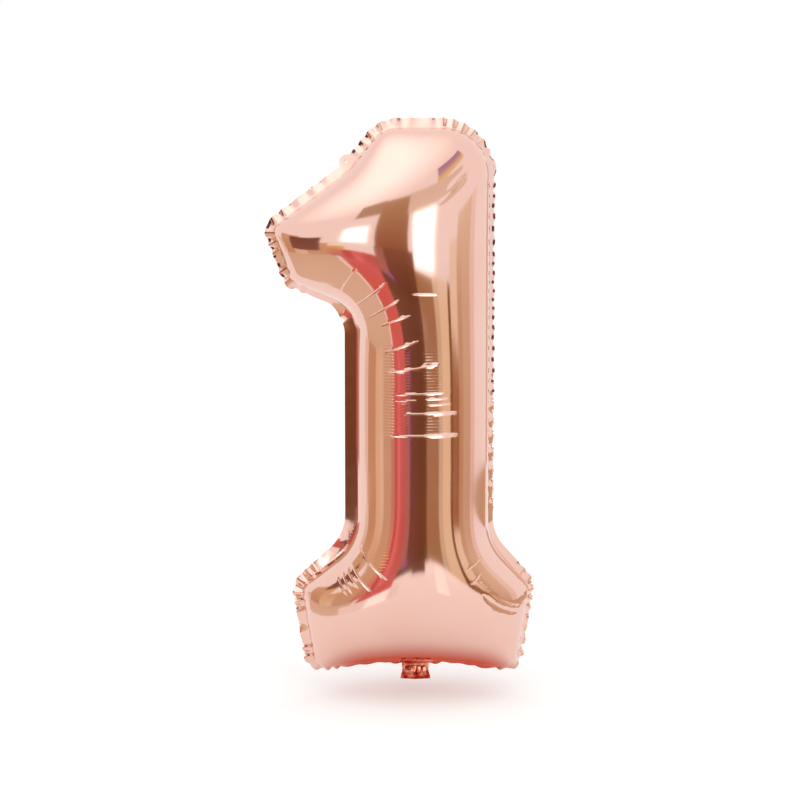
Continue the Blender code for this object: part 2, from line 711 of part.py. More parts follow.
def main():
    clear_scene()
    parts = make_collection("foil_number_balloon")
    helpers = make_collection("cutters")
    foil = make_material("rose_gold_foil", FOIL_COLOUR, 1.0, FOIL_ROUGHNESS)
    film = make_material("valve_film", FILM_COLOUR, 0.0, FILM_ROUGHNESS)

    sheet = Sheet()
    front = make_panel("front_foil_panel", sheet, FRONT, parts, foil)
    back = make_panel("back_foil_panel", sheet, BACK, parts, foil)
    cutters = make_tab_cutters(sheet, helpers)
    cut_holes(front, cutters)
    cut_holes(back, cutters)

    fold = make_fold_axis(parts)
    make_tongue("front_tail_tongue", FRONT, parts, foil, fold)
    make_tongue("back_tail_tongue", BACK, parts, foil, fold)
    make_film("valve_front_film", FRONT, parts, film)
    make_film("valve_back_film", BACK, parts, film)

    low = sheet.plan.min(axis=0)
    high = sheet.plan.max(axis=0)
    print(f"sheet: {len(sheet.plan)} points, {len(sheet.faces)} triangles")
    print(f"plan {1000 * (high - low)} mm, half depth {1000 * sheet.height.max():.1f} mm")
    for i, tab in enumerate(sheet.tabs):
        lean = sheet.tab_leans[i]
        print(f"tab {i + 1} at {1000 * sheet.seam.point(tab)} mm, leaning {lean:.1f} degrees")


main()
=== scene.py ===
# %% [markdown]
# # A foil number balloon, the digit 1
#
# The real balloon is two sheets of metallised film, cut to a flat digit and welded together
# along a seam. Gas rounds the sheets into shells. Film can't stretch, so the seam gets shorter:
# the sealed margin outside it ruffles, and the shells crease where the digit has inner corners.
#
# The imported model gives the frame: where each sheet, the tail and the valve are, and about which
# line the tail folds. This script makes the fine surfaces around it. A node's place is in its
# mesh, so everything here is in metres in the frame's own coordinates, with +Z up, the front
# facing -Y and the origin in the middle of the tail's fold.

# %% Load the frame
import json
import math

import bmesh
import bpy
import numpy as np
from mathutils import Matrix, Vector, noise

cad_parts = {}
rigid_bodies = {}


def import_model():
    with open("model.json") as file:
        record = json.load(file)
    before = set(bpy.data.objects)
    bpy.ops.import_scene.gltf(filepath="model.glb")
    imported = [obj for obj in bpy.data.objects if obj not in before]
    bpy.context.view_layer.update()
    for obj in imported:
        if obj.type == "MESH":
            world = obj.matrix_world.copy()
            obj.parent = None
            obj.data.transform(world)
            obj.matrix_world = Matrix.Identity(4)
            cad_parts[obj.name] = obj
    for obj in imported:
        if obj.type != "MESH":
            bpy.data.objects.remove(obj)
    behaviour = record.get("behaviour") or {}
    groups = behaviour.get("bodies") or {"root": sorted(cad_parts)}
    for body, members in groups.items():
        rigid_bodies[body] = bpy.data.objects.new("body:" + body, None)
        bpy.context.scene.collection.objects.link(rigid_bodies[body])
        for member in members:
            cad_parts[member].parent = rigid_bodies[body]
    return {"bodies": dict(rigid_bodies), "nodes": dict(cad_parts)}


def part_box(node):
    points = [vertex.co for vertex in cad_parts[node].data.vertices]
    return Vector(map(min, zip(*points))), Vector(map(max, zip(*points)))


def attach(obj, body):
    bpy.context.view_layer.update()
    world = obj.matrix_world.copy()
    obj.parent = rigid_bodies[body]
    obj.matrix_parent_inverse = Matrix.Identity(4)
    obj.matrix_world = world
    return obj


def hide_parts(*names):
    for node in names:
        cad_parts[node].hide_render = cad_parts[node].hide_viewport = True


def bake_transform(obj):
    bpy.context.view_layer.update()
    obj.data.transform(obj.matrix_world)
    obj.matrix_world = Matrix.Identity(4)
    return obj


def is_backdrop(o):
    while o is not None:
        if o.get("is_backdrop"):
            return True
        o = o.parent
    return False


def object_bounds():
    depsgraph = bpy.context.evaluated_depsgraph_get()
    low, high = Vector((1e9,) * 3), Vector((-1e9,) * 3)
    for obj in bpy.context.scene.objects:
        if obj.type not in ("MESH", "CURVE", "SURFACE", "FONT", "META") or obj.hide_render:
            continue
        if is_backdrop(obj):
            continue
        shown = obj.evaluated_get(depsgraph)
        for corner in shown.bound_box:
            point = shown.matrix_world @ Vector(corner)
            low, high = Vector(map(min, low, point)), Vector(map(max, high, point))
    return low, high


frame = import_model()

ours = set(frame["nodes"].values()) | set(frame["bodies"].values())
for left_over in set(bpy.data.objects) - ours:
    bpy.data.objects.remove(left_over)
cad_box = [list(corner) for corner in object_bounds()]
print("frame:", sorted(frame["nodes"]), "box in mm:", [[round(1000 * x) for x in c] for c in cad_box])

# %% [markdown]
# ## Two helpers
#
# A colour is written as the hex value that a colour picker shows, which is sRGB, but Blender's
# sockets want linear light. One function turns one into the other. Nodes are added by one small
# function too: keyword arguments are the node's own settings, `values` go into its input
# sockets, and `links` join its inputs to other nodes' outputs.

# %% Helpers for colours and nodes
def linear(hex_colour):
    """An sRGB hex colour as the linear colour that a socket wants."""
    channels = [int(hex_colour[i : i + 2], 16) / 255 for i in (1, 3, 5)]
    return [c / 12.92 if c <= 0.04045 else ((c + 0.055) / 1.055) ** 2.4 for c in channels] + [1.0]


def add_node(tree, kind, values=(), links=(), **settings):
    """Adds a node of this kind, with its settings, its input values and its links."""
    made = tree.nodes.new(kind)
    for name, value in settings.items():
        setattr(made, name, value)
    for name, value in dict(values).items():
        made.inputs[name].default_value = value
    for name, source in dict(links).items():
        tree.links.new(source, made.inputs[name])
    return made


def smooth(value):
    """0 below 0 and 1 above 1, with a soft S between."""
    t = np.clip(value, 0, 1)
    return t * t * (3 - 2 * t)


# %% [markdown]
# ## The seam
#
# Everything on this balloon hangs on one line, the weld. The digit's corners are given as real
# sizes, measured to the seam of the blown-up balloon, with a radius for each, and the round
# stretches are arcs. The seam is then read by its length `s`, from the middle of the base and
# clockwise, because ruffles, ticks and puckers all follow that length.

# %% The digit's corners, in metres, as the frame has them
SEAM_HEIGHT = 0.664
STEM_WIDTH = 0.166
STEM_SHIFT = 0.008
NECK_RISE = 0.007
TOP_LEFT_REACH = 0.132
FLAG_REACH = 0.103
FLAG_TIP_DROP = 0.124
FLAG_EDGE_LENGTH = 0.070
FLAG_EDGE_LEAN = 21.0
FLAG_ROOT_DROP = 0.221
SLOPE_DIP = 0.011
SLOPE_DIP_PLACE = 0.62  # of the slope, from the flag's tip
FOOT_WIDTH = 0.286
FOOT_BASE_WIDTH = 0.252
FOOT_HEIGHT = 0.093
FOOT_SHOULDER_RISE = 0.060
FOOT_CORNER_DROP = 0.011
BASE_ARCH = 0.005

top = NECK_RISE + SEAM_HEIGHT
stem_left = STEM_SHIFT - STEM_WIDTH / 2
stem_right = STEM_SHIFT + STEM_WIDTH / 2
edge_lean = math.radians(FLAG_EDGE_LEAN)
tip = np.array([stem_left - FLAG_REACH, top - FLAG_TIP_DROP])
heel = tip + FLAG_EDGE_LENGTH * np.array([math.sin(edge_lean), -math.cos(edge_lean)])
upper_left = np.array([stem_right - TOP_LEFT_REACH, top])
slope = upper_left - tip
inward = np.array([slope[1], -slope[0]]) / np.linalg.norm(slope)
dip = tip + SLOPE_DIP_PLACE * slope + SLOPE_DIP * inward
shoulder = NECK_RISE + FOOT_HEIGHT
root = shoulder + FOOT_SHOULDER_RISE
foot_corner = NECK_RISE - FOOT_CORNER_DROP

corners = [
    # x, z and radius, clockwise from the middle of the base
    (0.0, NECK_RISE + BASE_ARCH, 0.600),
    (-FOOT_BASE_WIDTH / 2, foot_corner, 0.014),
    (-FOOT_WIDTH / 2, shoulder, 0.020),
    (stem_left, root, 0.070),
    (stem_left, top - FLAG_ROOT_DROP, 0.048),
    (*heel, 0.010),
    (*tip, 0.012),
    (*dip, 0.090),
    (*upper_left, 0.045),
    (stem_right, top, 0.060),
    (stem_right, root, 0.070),
    (FOOT_WIDTH / 2, shoulder, 0.020),
    (FOOT_BASE_WIDTH / 2, foot_corner, 0.014),
]


# %% The seam as a curve
ARC_SHARE = 0.48  # of the shorter side, the most that a corner's arc may take


def rounded(points, step=2.0):
    """The closed outline with each corner turned into an arc, with a point each step degrees."""
    found = []
    for i, (x, z, radius) in enumerate(points):
        here = np.array([x, z])
        before = np.array(points[i - 1][:2]) - here
        after = np.array(points[(i + 1) % len(points)][:2]) - here
        room = ARC_SHARE * min(np.linalg.norm(before), np.linalg.norm(after))
        before /= np.linalg.norm(before)
        after /= np.linalg.norm(after)
        half = math.acos(np.clip(before @ after, -1, 1)) / 2
        reach = min(radius / math.tan(half), room)
        middle = (before + after) / np.linalg.norm(before + after)
        centre = here + middle * reach / math.cos(half)
        start = here + before * reach - centre
        turn = math.pi - 2 * half
        side = np.sign(before[1] * after[0] - before[0] * after[1])
        steps = max(2, round(math.degrees(turn) / step))
        for a in np.linspace(0, side * turn, steps + 1):
            spin = np.array([[math.cos(a), -math.sin(a)], [math.sin(a), math.cos(a)]])
            found.append(centre + spin @ start)
    return np.array(found)


SEAM_POINTS = 1200  # 1.8 mm apart, six to the shortest ruffle

outline = rounded(corners)
following = np.roll(outline, -1, axis=0)
first = int(np.flatnonzero((outline[:, 0] > 0) & (following[:, 0] <= 0) & (outline[:, 1] < root))[0])
share = outline[first, 0] / (outline[first, 0] - following[first, 0])
middle_of_base = outline[first] + share * (following[first] - outline[first])
loop = np.vstack([[middle_of_base], np.roll(outline, -first - 1, axis=0), [middle_of_base]])
lengths = np.concatenate([[0.0], np.cumsum(np.linalg.norm(np.diff(loop, axis=0), axis=1))])
SEAM_LENGTH = lengths[-1]


def seam_point(s):
    """The seam's place (x, z) at length s."""
    s = np.mod(s, SEAM_LENGTH)
    return np.stack([np.interp(s, lengths, loop[:, k]) for k in (0, 1)], -1)


def seam_out(s, reach=0.003):
    """The direction out of the digit at length s, read over a short stretch."""
    along = seam_point(s + reach) - seam_point(s - reach)
    along /= np.linalg.norm(along, axis=-1, keepdims=True)
    return np.stack([-along[..., 1], along[..., 0]], -1)


def seam_turn(s, reach=0.020):
    """How far the seam turns within reach of s: above 0 round a convex corner, in radians."""
    a, b = seam_out(s - reach), seam_out(s + reach)
    return a[..., 1] * b[..., 0] - a[..., 0] * b[..., 1]


seam_s = np.arange(SEAM_POINTS) * SEAM_LENGTH / SEAM_POINTS
on_seam = seam_point(seam_s)
out_of_seam = seam_out(seam_s)
print(f"seam: {1000 * SEAM_LENGTH:.0f} mm round, {SEAM_POINTS} points")

# %% [markdown]
# ## The sealed margin
#
# Outside the weld a strip 13 mm wide is left, which the cutter follows. It has three round lobes
# with a hole each, for hanging the digit up. Above the tail the strip only runs down to the
# fold, where the tail goes on.

# %% The margin's width along the seam
MARGIN = 0.013
TAB_RADIUS = 0.010
TAB_HOLE_RADIUS = 0.002
TAB_REACH = 0.0075
TAB_FLAT = 0.019
TAIL_ROOT_WIDTH = 0.034
NECK_END = 0.0025  # the sheet ends this far above the fold, where the tail's own foil starts
LEAN_SPREAD = 0.018
BASE_SHARE = 0.1  # of the seam, to each side of its start
SLOPE_TAB_X, SLOPE_TAB_Z = 0.005, 0.010  # from the slope's dip
HEAD_TAB_DROP = 0.048
BASE_TAB_INSET = 0.039


def nearest_length(x, z):
    return seam_s[np.argmin(np.linalg.norm(on_seam - [x, z], axis=1))]


tab_s = np.array([
    nearest_length(dip[0] + SLOPE_TAB_X, dip[1] + SLOPE_TAB_Z),
    nearest_length(stem_right, top - HEAD_TAB_DROP),
    nearest_length(FOOT_BASE_WIDTH / 2 - BASE_TAB_INSET, foot_corner),
])


def off_tabs(s):
    """How far along the seam each s is from each tab's middle."""
    away = np.abs(np.subtract.outer(s, tab_s))
    return np.minimum(away, SEAM_LENGTH - away)


def neck_share(s):
    """1 on the neck, falling to 0 beside it."""
    x = seam_point(s)[..., 0]
    side = smooth((np.abs(x) - TAIL_ROOT_WIDTH / 2) / LEAN_SPREAD)
    on_base = np.minimum(s, SEAM_LENGTH - s) < BASE_SHARE * SEAM_LENGTH
    return np.where(on_base, 1 - side, 0.0)


def margin_width(s):
    away = off_tabs(s).min(axis=1)
    lobe = np.sqrt(np.clip(TAB_RADIUS**2 - away**2, 0, None)) - TAB_RADIUS + TAB_REACH
    width = MARGIN + np.clip(lobe, 0, None)
    to_end = seam_point(s)[:, 1] - NECK_END
    return width + (to_end - width) * neck_share(s)


seam_margin = margin_width(seam_s)
print(f"margin: {1000 * seam_margin.min():.1f} to {1000 * seam_margin.max():.1f} mm wide")

# %% [markdown]
# ## The flat sheet
#
# The sheet starts flat, as on the maker's table. Its mesh has two kinds of faces. Along the seam
# rows of quads run with the weld, because ruffles and puckers do too, and because the blown-up
# sheet stands almost square to its flat plan there: the rows get closer towards the seam. Over
# the rest an even grid keeps the reflections calm. The rows are a circle of edges that is laid
# on the seam and extruded in and out. The grid is trimmed to what fits inside the last row, and
# `triangle_fill` closes the band between.

# %% Rows along the seam, by extruding
SHELL_ROWS = 6
SHELL_REACH = 0.0065
MARGIN_ROWS = 6
GRID_PITCH = 0.0030
GRID_ROOM = 0.6  # of a pitch, left between the grid and the last row
BATCH = 2000  # points that are located at a time


def lay(row, places):
    for vert, (x, z) in zip(row, places):
        vert.co = (x, 0.0, z)


def edges_of(row):
    """The edges of a closed row of vertices."""
    pairs = zip(row, row[1:] + row[:1])
    return [next(e for e in a.link_edges if e.other_vert(a) is b) for a, b in pairs]


def extruded(bm, row):
    """Extrudes a closed row of edges, and gives the new row in the same order."""
    made = bmesh.ops.extrude_edge_only(bm, edges=edges_of(row))
    fresh = {g for g in made["geom"] if isinstance(g, bmesh.types.BMVert)}
    return [next(e.other_vert(v) for e in v.link_edges if e.other_vert(v) in fresh) for v in row]


flat = bmesh.new()
seam_row = bmesh.ops.create_circle(flat, segments=SEAM_POINTS, radius=1.0)["verts"]
lay(seam_row, on_seam)
row = seam_row
for k in range(1, MARGIN_ROWS + 1):
    row = extruded(flat, row)
    lay(row, on_seam + out_of_seam * (seam_margin * k / MARGIN_ROWS)[:, None])
row = seam_row
for k in range(1, SHELL_ROWS + 1):
    row = extruded(flat, row)
    lay(row, on_seam - out_of_seam * SHELL_REACH * (k / SHELL_ROWS) ** 2)
last_row = row
print(f"rows: {len(flat.faces)} quads")


# %% The grid inside the rows
def locate(points):
    """For each flat point, the seam length that it is nearest to and how far outside it is."""
    found = np.empty((len(points), 2))
    along = np.stack([out_of_seam[:, 1], -out_of_seam[:, 0]], -1)
    for start in range(0, len(points), BATCH):
        part = points[start : start + BATCH]
        gap = part[:, None] - on_seam
        near = np.argmin((gap**2).sum(axis=-1), axis=1)
        gap = part - on_seam[near]
        found[start : start + BATCH, 0] = seam_s[near] + (gap * along[near]).sum(axis=1)
        found[start : start + BATCH, 1] = (gap * out_of_seam[near]).sum(axis=1)
    return found[:, 0], found[:, 1]


low, high = loop.min(axis=0), loop.max(axis=0)
columns, rows = np.ceil((high - low) / GRID_PITCH).astype(int)

grid = bmesh.ops.create_grid(flat, x_segments=int(columns), y_segments=int(rows), size=0.5)["verts"]
for vert in grid:
    x, z = np.array(vert.co[:2]) * [columns, rows] * GRID_PITCH + (low + high) / 2
    vert.co = (x, 0.0, z)
plan = np.array([vert.co for vert in grid])[:, [0, 2]]
outside = locate(plan)[1] > -SHELL_REACH - GRID_ROOM * GRID_PITCH
dropped = [vert for vert, far in zip(grid, outside) if far]
bmesh.ops.delete(flat, geom=dropped, context="VERTS")
kept = [vert for vert in grid if vert.is_valid]


def pinched(vert):
    return sum(edge.is_boundary for edge in vert.link_edges) > 2 or not vert.link_faces


while any(pinched(vert) for vert in kept):
    bmesh.ops.delete(flat, geom=[vert for vert in kept if pinched(vert)], context="VERTS")
    kept = [vert for vert in kept if vert.is_valid]
rim = {edge for vert in kept for edge in vert.link_edges if edge.is_boundary}
band = bmesh.ops.triangle_fill(
    flat, use_beauty=True, edges=list(rim) + edges_of(last_row), normal=(0.0, -1.0, 0.0)
)
filled = sum(isinstance(made, bmesh.types.BMFace) for made in band["geom"])
print(f"grid: {len(kept)} points, band of {filled} triangles")
print("open edges:", sum(edge.is_boundary for edge in flat.edges))

# %% [markdown]
# ## Holes in the tabs
#
# Each tab has a punched hole of 4 mm. It is cut while the sheet is flat: planes that touch the
# hole's circle are bisected through the few faces round it, and what lies inside is deleted.

# %% Punch the holes
HOLE_SIDES = 14
CUT_REACH = 2.2  # of the hole's radius, within which faces are bisected


def punch(bm, centre, radius):
    for angle in np.arange(HOLE_SIDES) * 2 * math.pi / HOLE_SIDES:
        normal = Vector((math.cos(angle), 0.0, math.sin(angle)))
        near = [f for f in bm.faces if (f.calc_center_median() - centre).length < CUT_REACH * radius]
        geometry = {g for f in near for g in (f, *f.edges, *f.verts)}
        bmesh.ops.bisect_plane(
            bm, geom=list(geometry), dist=1e-6, plane_co=centre + normal * radius, plane_no=normal
        )
    hole = [f for f in bm.faces if (f.calc_center_median() - centre).length < radius]
    bmesh.ops.delete(bm, geom=hole, context="FACES")


for s in tab_s:
    x, z = seam_point(s) + seam_out(s) * (MARGIN + TAB_REACH - TAB_RADIUS)
    punch(flat, Vector((x, 0.0, z)), TAB_HOLE_RADIUS)
print("open edges with the holes:", sum(edge.is_boundary for edge in flat.edges))

# %% [markdown]
# ## Where the film creases
#
# Film can't shrink along a seam that bends inwards, so it folds there. The long creases start
# near the flag's root and turn from slanting to level down the stem, and shorter ones cross the
# foot's two inner corners. Each is a straight or slightly bowed line in the flat sheet: its two
# ends, how far it bows, how deep it is and how wide, in millimetres. The grid is cut finer round
# them, so that a crease 2 mm wide is still smooth.

# %% The creases, in millimetres (x and z of each end, bow, depth, width)
CREASES = [
    # out of the flag's root, from slanting to level
    (-97, 461, -71, 503, 1, 0.42, 0.85),
    (-79, 452, -35, 486, -1, 0.50, 0.90),
    (-64, 438, -19, 465, 0, 0.46, 0.85),
    (-50, 429, -5, 446, 1, 0.50, 0.85),
    (-44, 398, 6, 416, 0, 0.50, 0.85),
    (-41, 376, 29, 387, -1, 0.52, 0.85),
    (-30, 349, 36, 352, 0, 0.42, 0.80),
    (-22, 326, 51, 328, 0, 0.46, 0.85),
    (-38, 299, 53, 301, 0, 0.55, 0.90),
    (-8, 471, 26, 471, 0, 0.40, 0.90),
    (-28, 342, 2, 343, 0, 0.26, 0.75),
    (10, 344, 40, 345, 0, 0.26, 0.75),
    (12, 337, 42, 338, 0, 0.22, 0.75),
    # into the head's right corner
    (34, 588, 80, 637, 1, 1.00, 3.6),
    (26, 576, 60, 610, 0, 0.40, 1.8),
    # across the foot's left inner corner
    (-72, 165, -32, 122, -4, 0.46, 0.85),
    (-83, 147, -54, 107, -3, 0.46, 0.85),
    (-89, 143, -68, 110, -3, 0.36, 0.80),
    (-93, 134, -76, 102, -2, 0.36, 0.80),
    (-96, 124, -83, 100, -2, 0.32, 0.80),
    # across the foot's right inner corner
    (61, 135, 80, 148, -1, 0.36, 0.85),
    (66, 116, 79, 130, -1, 0.36, 0.85),
    (74, 121, 90, 106, 1, 0.32, 0.85),
    (80, 104, 128, 74, -4, 0.70, 2.2),
    (90, 106, 131, 81, -3, 0.34, 1.2),
]
CREASE_ROOM = 0.0034  # to each side, where the grid is cut finer
CREASE_ENDS = 0.55  # of its length, from its middle
CREASE_CUTS = 5
UNCREASED = 0.010  # beside the seam


def crease_lines():
    """Each crease in metres: start, end, bow, depth, width."""
    for x0, z0, x1, z1, bow, depth, width in CREASES:
        yield np.array([x0, z0]) / 1000, np.array([x1, z1]) / 1000, bow / 1000, depth / 1000, width / 1000


def along_crease(points, start, end, bow):
    """How far along the crease each point is, as a share, and how far to its side."""
    reach = end - start
    length = np.linalg.norm(reach)
    side = np.array([-reach[1], reach[0]]) / length
    t = (points - start) @ reach / length**2
    return t, (points - start) @ side - bow * 4 * t * (1 - t)


def plan_of(bm):
    return np.array([(v.co.x, v.co.z) for v in bm.verts])


flat.verts.index_update()
plan = plan_of(flat)
near_crease = np.zeros(len(plan), bool)
for start, end, bow, depth, width in crease_lines():
    t, off = along_crease(plan, start, end, bow)
    near_crease |= (np.abs(t - 0.5) < CREASE_ENDS) & (np.abs(off) < CREASE_ROOM)
near_crease &= locate(plan)[1] < -UNCREASED
finer = {e for e in flat.edges if all(near_crease[v.index] for v in e.verts)}
bmesh.ops.subdivide_edges(flat, edges=list(finer), cuts=CREASE_CUTS, use_grid_fill=True)
many = [face for face in flat.faces if len(face.verts) > 4]
bmesh.ops.triangulate(flat, faces=many)
print(f"flat sheet: {len(flat.verts)} points, {len(flat.faces)} faces, {len(finer)} edges cut finer")

# %% [markdown]
# ## Blowing it up
#
# Gas presses evenly on the sheet. The square of the sheet's height is then found as the sag of a
# stretched membrane under an even load, which gives a long straight tube a half circle as its
# section, just as a real one has. The membrane is solved on the flat mesh itself: each edge
# pulls like a spring whose stiffness comes from the triangles beside it, and conjugate gradients
# settle all the points.

# %% Solve the membrane
ON_WELD = 1e-5
MOST_STEPS = 4000
SETTLED = 1e-16  # of the first step's energy

flat.verts.index_update()
plan = plan_of(flat)
triangles = np.array([[loop_.vert.index for loop_ in three] for three in flat.calc_loop_triangles()])
point_s, point_away = locate(plan)
held = point_away > -ON_WELD


def springs(points, faces):
    """The cotangent stiffness of each side of each triangle, as (i, j, stiffness)."""
    found = []
    for a, b, c in ((0, 1, 2), (1, 2, 0), (2, 0, 1)):
        p = points[faces[:, a]] - points[faces[:, c]]
        q = points[faces[:, b]] - points[faces[:, c]]
        area = np.abs(p[:, 0] * q[:, 1] - p[:, 1] * q[:, 0])
        found.append((faces[:, a], faces[:, b], (p * q).sum(axis=1) / np.maximum(area, 1e-12) / 2))
    return [np.concatenate(part) for part in zip(*found)]


def settle(points, faces, fixed):
    """The membrane's sag at each point, under a load that makes straight tubes round."""
    count = len(points)
    i, j, stiffness = springs(points, faces)
    p, q, r = (points[faces[:, k]] for k in range(3))
    area = np.abs((q - p)[:, 0] * (r - p)[:, 1] - (q - p)[:, 1] * (r - p)[:, 0]) / 2
    load = np.bincount(faces.ravel(), np.repeat(2 * area / 3, 3), count)
    load[fixed] = 0
    own = np.bincount(i, stiffness, count) + np.bincount(j, stiffness, count)
    own[fixed] = 1

    def pull(x):
        tension = stiffness * (x[i] - x[j])
        y = np.bincount(i, tension, count) - np.bincount(j, tension, count)
        y[fixed] = 0
        return y

    sag = np.zeros(count)
    rest = load.copy()
    step = rest / own
    energy = rest @ step
    stop = SETTLED * energy
    for tries in range(MOST_STEPS):
        pulled = pull(step)
        size = energy / (step @ pulled)
        sag += size * step
        rest -= size * pulled
        ahead = rest / own
        before, energy = energy, rest @ ahead
        if energy < stop:
            break
        step = ahead + energy / before * step
    print(f"settled in {tries} steps")
    return sag


inner_faces = triangles[(point_away[triangles] < ON_WELD).all(axis=1)]
height = np.sqrt(np.clip(settle(plan, inner_faces, held), 0, None))
height[held] = 0
print(f"half depth: {1000 * height.max():.1f} mm")

# %% [markdown]
# ## Ruffles and puckers
#
# The margin keeps the length it was cut to, while the seam beside it gets shorter, so the margin
# waves. The waves are short round the outer corners, where the seam shrinks most, and longer on
# straight stretches. They carry on into the shell as puckers, one to a wave, which die out
# within a few centimetres. On the inner corners the margin is pulled straight. As a whole the
# margin leans back: most at the digit's right side and base. Its cut rim, the last sixth of its
# width, curls back towards the viewer in short uneven dashes.

# %% The waves along the seam
LONG_RUFFLE = 0.024
SHORT_RUFFLE = 0.014
RUFFLE_ANGLE = 17.0
STRAIGHT_SHARE = 0.40  # of the ruffle's angle, on straight stretches
STRETCHED_LOSS = 0.98  # of the angle, where the margin is pulled straight
TOP_LOSS = 0.45  # of the angle, along the top
CONVEX_TURN, HOLLOW_TURN = 0.35, 0.20  # radians, for a corner to count in full
UNEVEN_RUFFLE, UNEVEN_ANGLE, UNEVEN_RIM = 0.22, 0.35, 0.35  # shares that chance adds or takes
RUFFLE_STEP, ANGLE_STEP, RIM_STEP = 0.035, 0.028, 0.040  # lengths over which chance changes
STEM_FADE, HEEL_ROOM = 0.04, 0.01
STEEPEST = 120.0  # degrees of lean that would leave no ruffle
RIM_PITCH = 0.0140
RIM_START = 5 / MARGIN_ROWS  # of the margin's width
RIM_LEAN = 3.0
DASH_SHARE, DASH_EDGE = 0.35, 1.6  # how much of the rim is dashes, and how sharply they end
BASE_FACING = 0.8  # the margin's downward share from which the rim stays flat
LEAN_FOOT_LEFT, LEAN_STEM_LEFT, LEAN_FLAG = 26.0, -1.5, 40.0
LEAN_RIGHT, LEAN_TOP, LEAN_BOTTOM = 64.0, 26.0, 62.0
rng = np.random.default_rng(11)


def uneven(s, step):
    """A smooth random curve round the seam, from -1 to 1, that changes about every step."""
    count = round(SEAM_LENGTH / step)
    values = rng.uniform(-1, 1, count)
    place = np.mod(s, SEAM_LENGTH) / SEAM_LENGTH * count
    low_ = np.floor(place).astype(int)
    part = smooth(place - low_)
    return values[low_ % count] * (1 - part) + values[(low_ + 1) % count] * part


def whole_waves(pitch):
    """The phase along the seam of waves of this pitch, stretched to a whole number of them."""
    turned = np.cumsum(2 * math.pi * SEAM_LENGTH / SEAM_POINTS / pitch)
    return turned * (2 * math.pi * round(turned[-1] / (2 * math.pi)) / turned[-1])


bulge = np.clip(seam_turn(seam_s) / CONVEX_TURN, 0, 1)
hollow = np.clip(-seam_turn(seam_s) / HOLLOW_TURN, 0, 1)
ruffle = LONG_RUFFLE + (SHORT_RUFFLE - LONG_RUFFLE) * np.sqrt(bulge)
ruffle *= 1 + UNEVEN_RUFFLE * uneven(seam_s, RUFFLE_STEP)
phase = whole_waves(ruffle)
heights, facing_up = on_seam[:, 1], out_of_seam[:, 1]
beside_stem = smooth((heights - shoulder) / STEM_FADE)
beside_stem *= smooth((heel[1] + HEEL_ROOM - heights) / STEM_FADE)
stretched = np.maximum(hollow, beside_stem * (on_seam[:, 0] < STEM_SHIFT))
tightness = (STRAIGHT_SHARE + (1 - STRAIGHT_SHARE) * bulge) * (1 - STRETCHED_LOSS * stretched)
tightness *= 1 + UNEVEN_ANGLE * uneven(seam_s, ANGLE_STEP)
tightness *= 1 - TOP_LOSS * np.clip(facing_up, 0, 1)
calm = smooth((off_tabs(seam_s).min(axis=1) - TAB_RADIUS) / (TAB_FLAT - TAB_RADIUS))
calm *= 1 - neck_share(seam_s)
print(f"waves: {round(phase[-1] / (2 * math.pi))} round the seam")


def by_length(values, s):
    """Reads values, which are given along the seam, at the lengths s."""
    return np.interp(s, seam_s, values, period=SEAM_LENGTH)


def side_lean(s):
    """The angle that the margin leans back by the side that it is on, in degrees."""
    n = seam_out(s)
    left = np.interp(
        seam_point(s)[..., 1],
        [shoulder, root, top - FLAG_ROOT_DROP, heel[1]],
        [LEAN_FOOT_LEFT, LEAN_STEM_LEFT, LEAN_STEM_LEFT, LEAN_FLAG],
    )
    sides = ((-n[..., 0], left), (n[..., 0], LEAN_RIGHT), (n[..., 1], LEAN_TOP), (-n[..., 1], LEAN_BOTTOM))
    return sum(np.clip(share_, 0, None) ** 2 * angle for share_, angle in sides)


lean = side_lean(seam_s)
swing = lean + np.sin(phase) * RUFFLE_ANGLE * tightness * (1 - lean / STEEPEST)
near_tab = smooth((TAB_FLAT - off_tabs(seam_s)) / (TAB_FLAT - TAB_RADIUS))
for share_, tab_lean in zip(near_tab.T, side_lean(tab_s)):
    swing += share_ * (tab_lean - swing)
swing = np.radians(swing * (1 - neck_share(seam_s)))

rim_phase = whole_waves(RIM_PITCH * (1 + UNEVEN_RIM * uneven(seam_s, RIM_STEP)))
turned_out = smooth(DASH_SHARE + DASH_EDGE * np.sin(rim_phase)) * calm * (1 - stretched)
turned_out *= 1 - np.clip(facing_up, 0, 1) ** 2
turned_out *= 1 - smooth((-facing_up - BASE_FACING) / (1 - BASE_FACING))
rim_angle = swing + turned_out * (math.radians(RIM_LEAN) - swing)

# %% [markdown]
# ## From flat to blown up
#
# Every flat point gets its place in space. In the margin it is laid out from the seam along the
# leaning direction. In the shell it keeps its place in the plan and moves out by the solved
# height. Puckers, creases and the film's own slight waviness are then pressed in along the
# surface's normal.

# %% Places of the two sheets
SHEET_GAP = 0.0003
VALVE_ROOM = 0.00065  # from the middle to the sheet's inner face, where the valve lies between
CHANNEL_WIDTH = 0.026
PUCKER = 0.0011
PUCKER_START, PUCKER_REACH = 0.004, 0.020
CREASE_IN, CREASE_OUT = 0.25, 0.15  # of a crease's length, over which it starts and ends
WAVINESS = 0.00022
WAVINESS_START = 0.03  # from the seam
FILM_WAVES = [  # strength, noise per metre across and up, and how far apart the sheets' noise is
    (2.0, 9.0, 3.5, 4.0),
    (0.6, 30.0, 12.0, 9.0),
]
WOBBLE = 0.0009  # of the seam itself, in step with the ruffles
WOBBLE_REACH = 0.012
NECK_BULGE = 0.0009


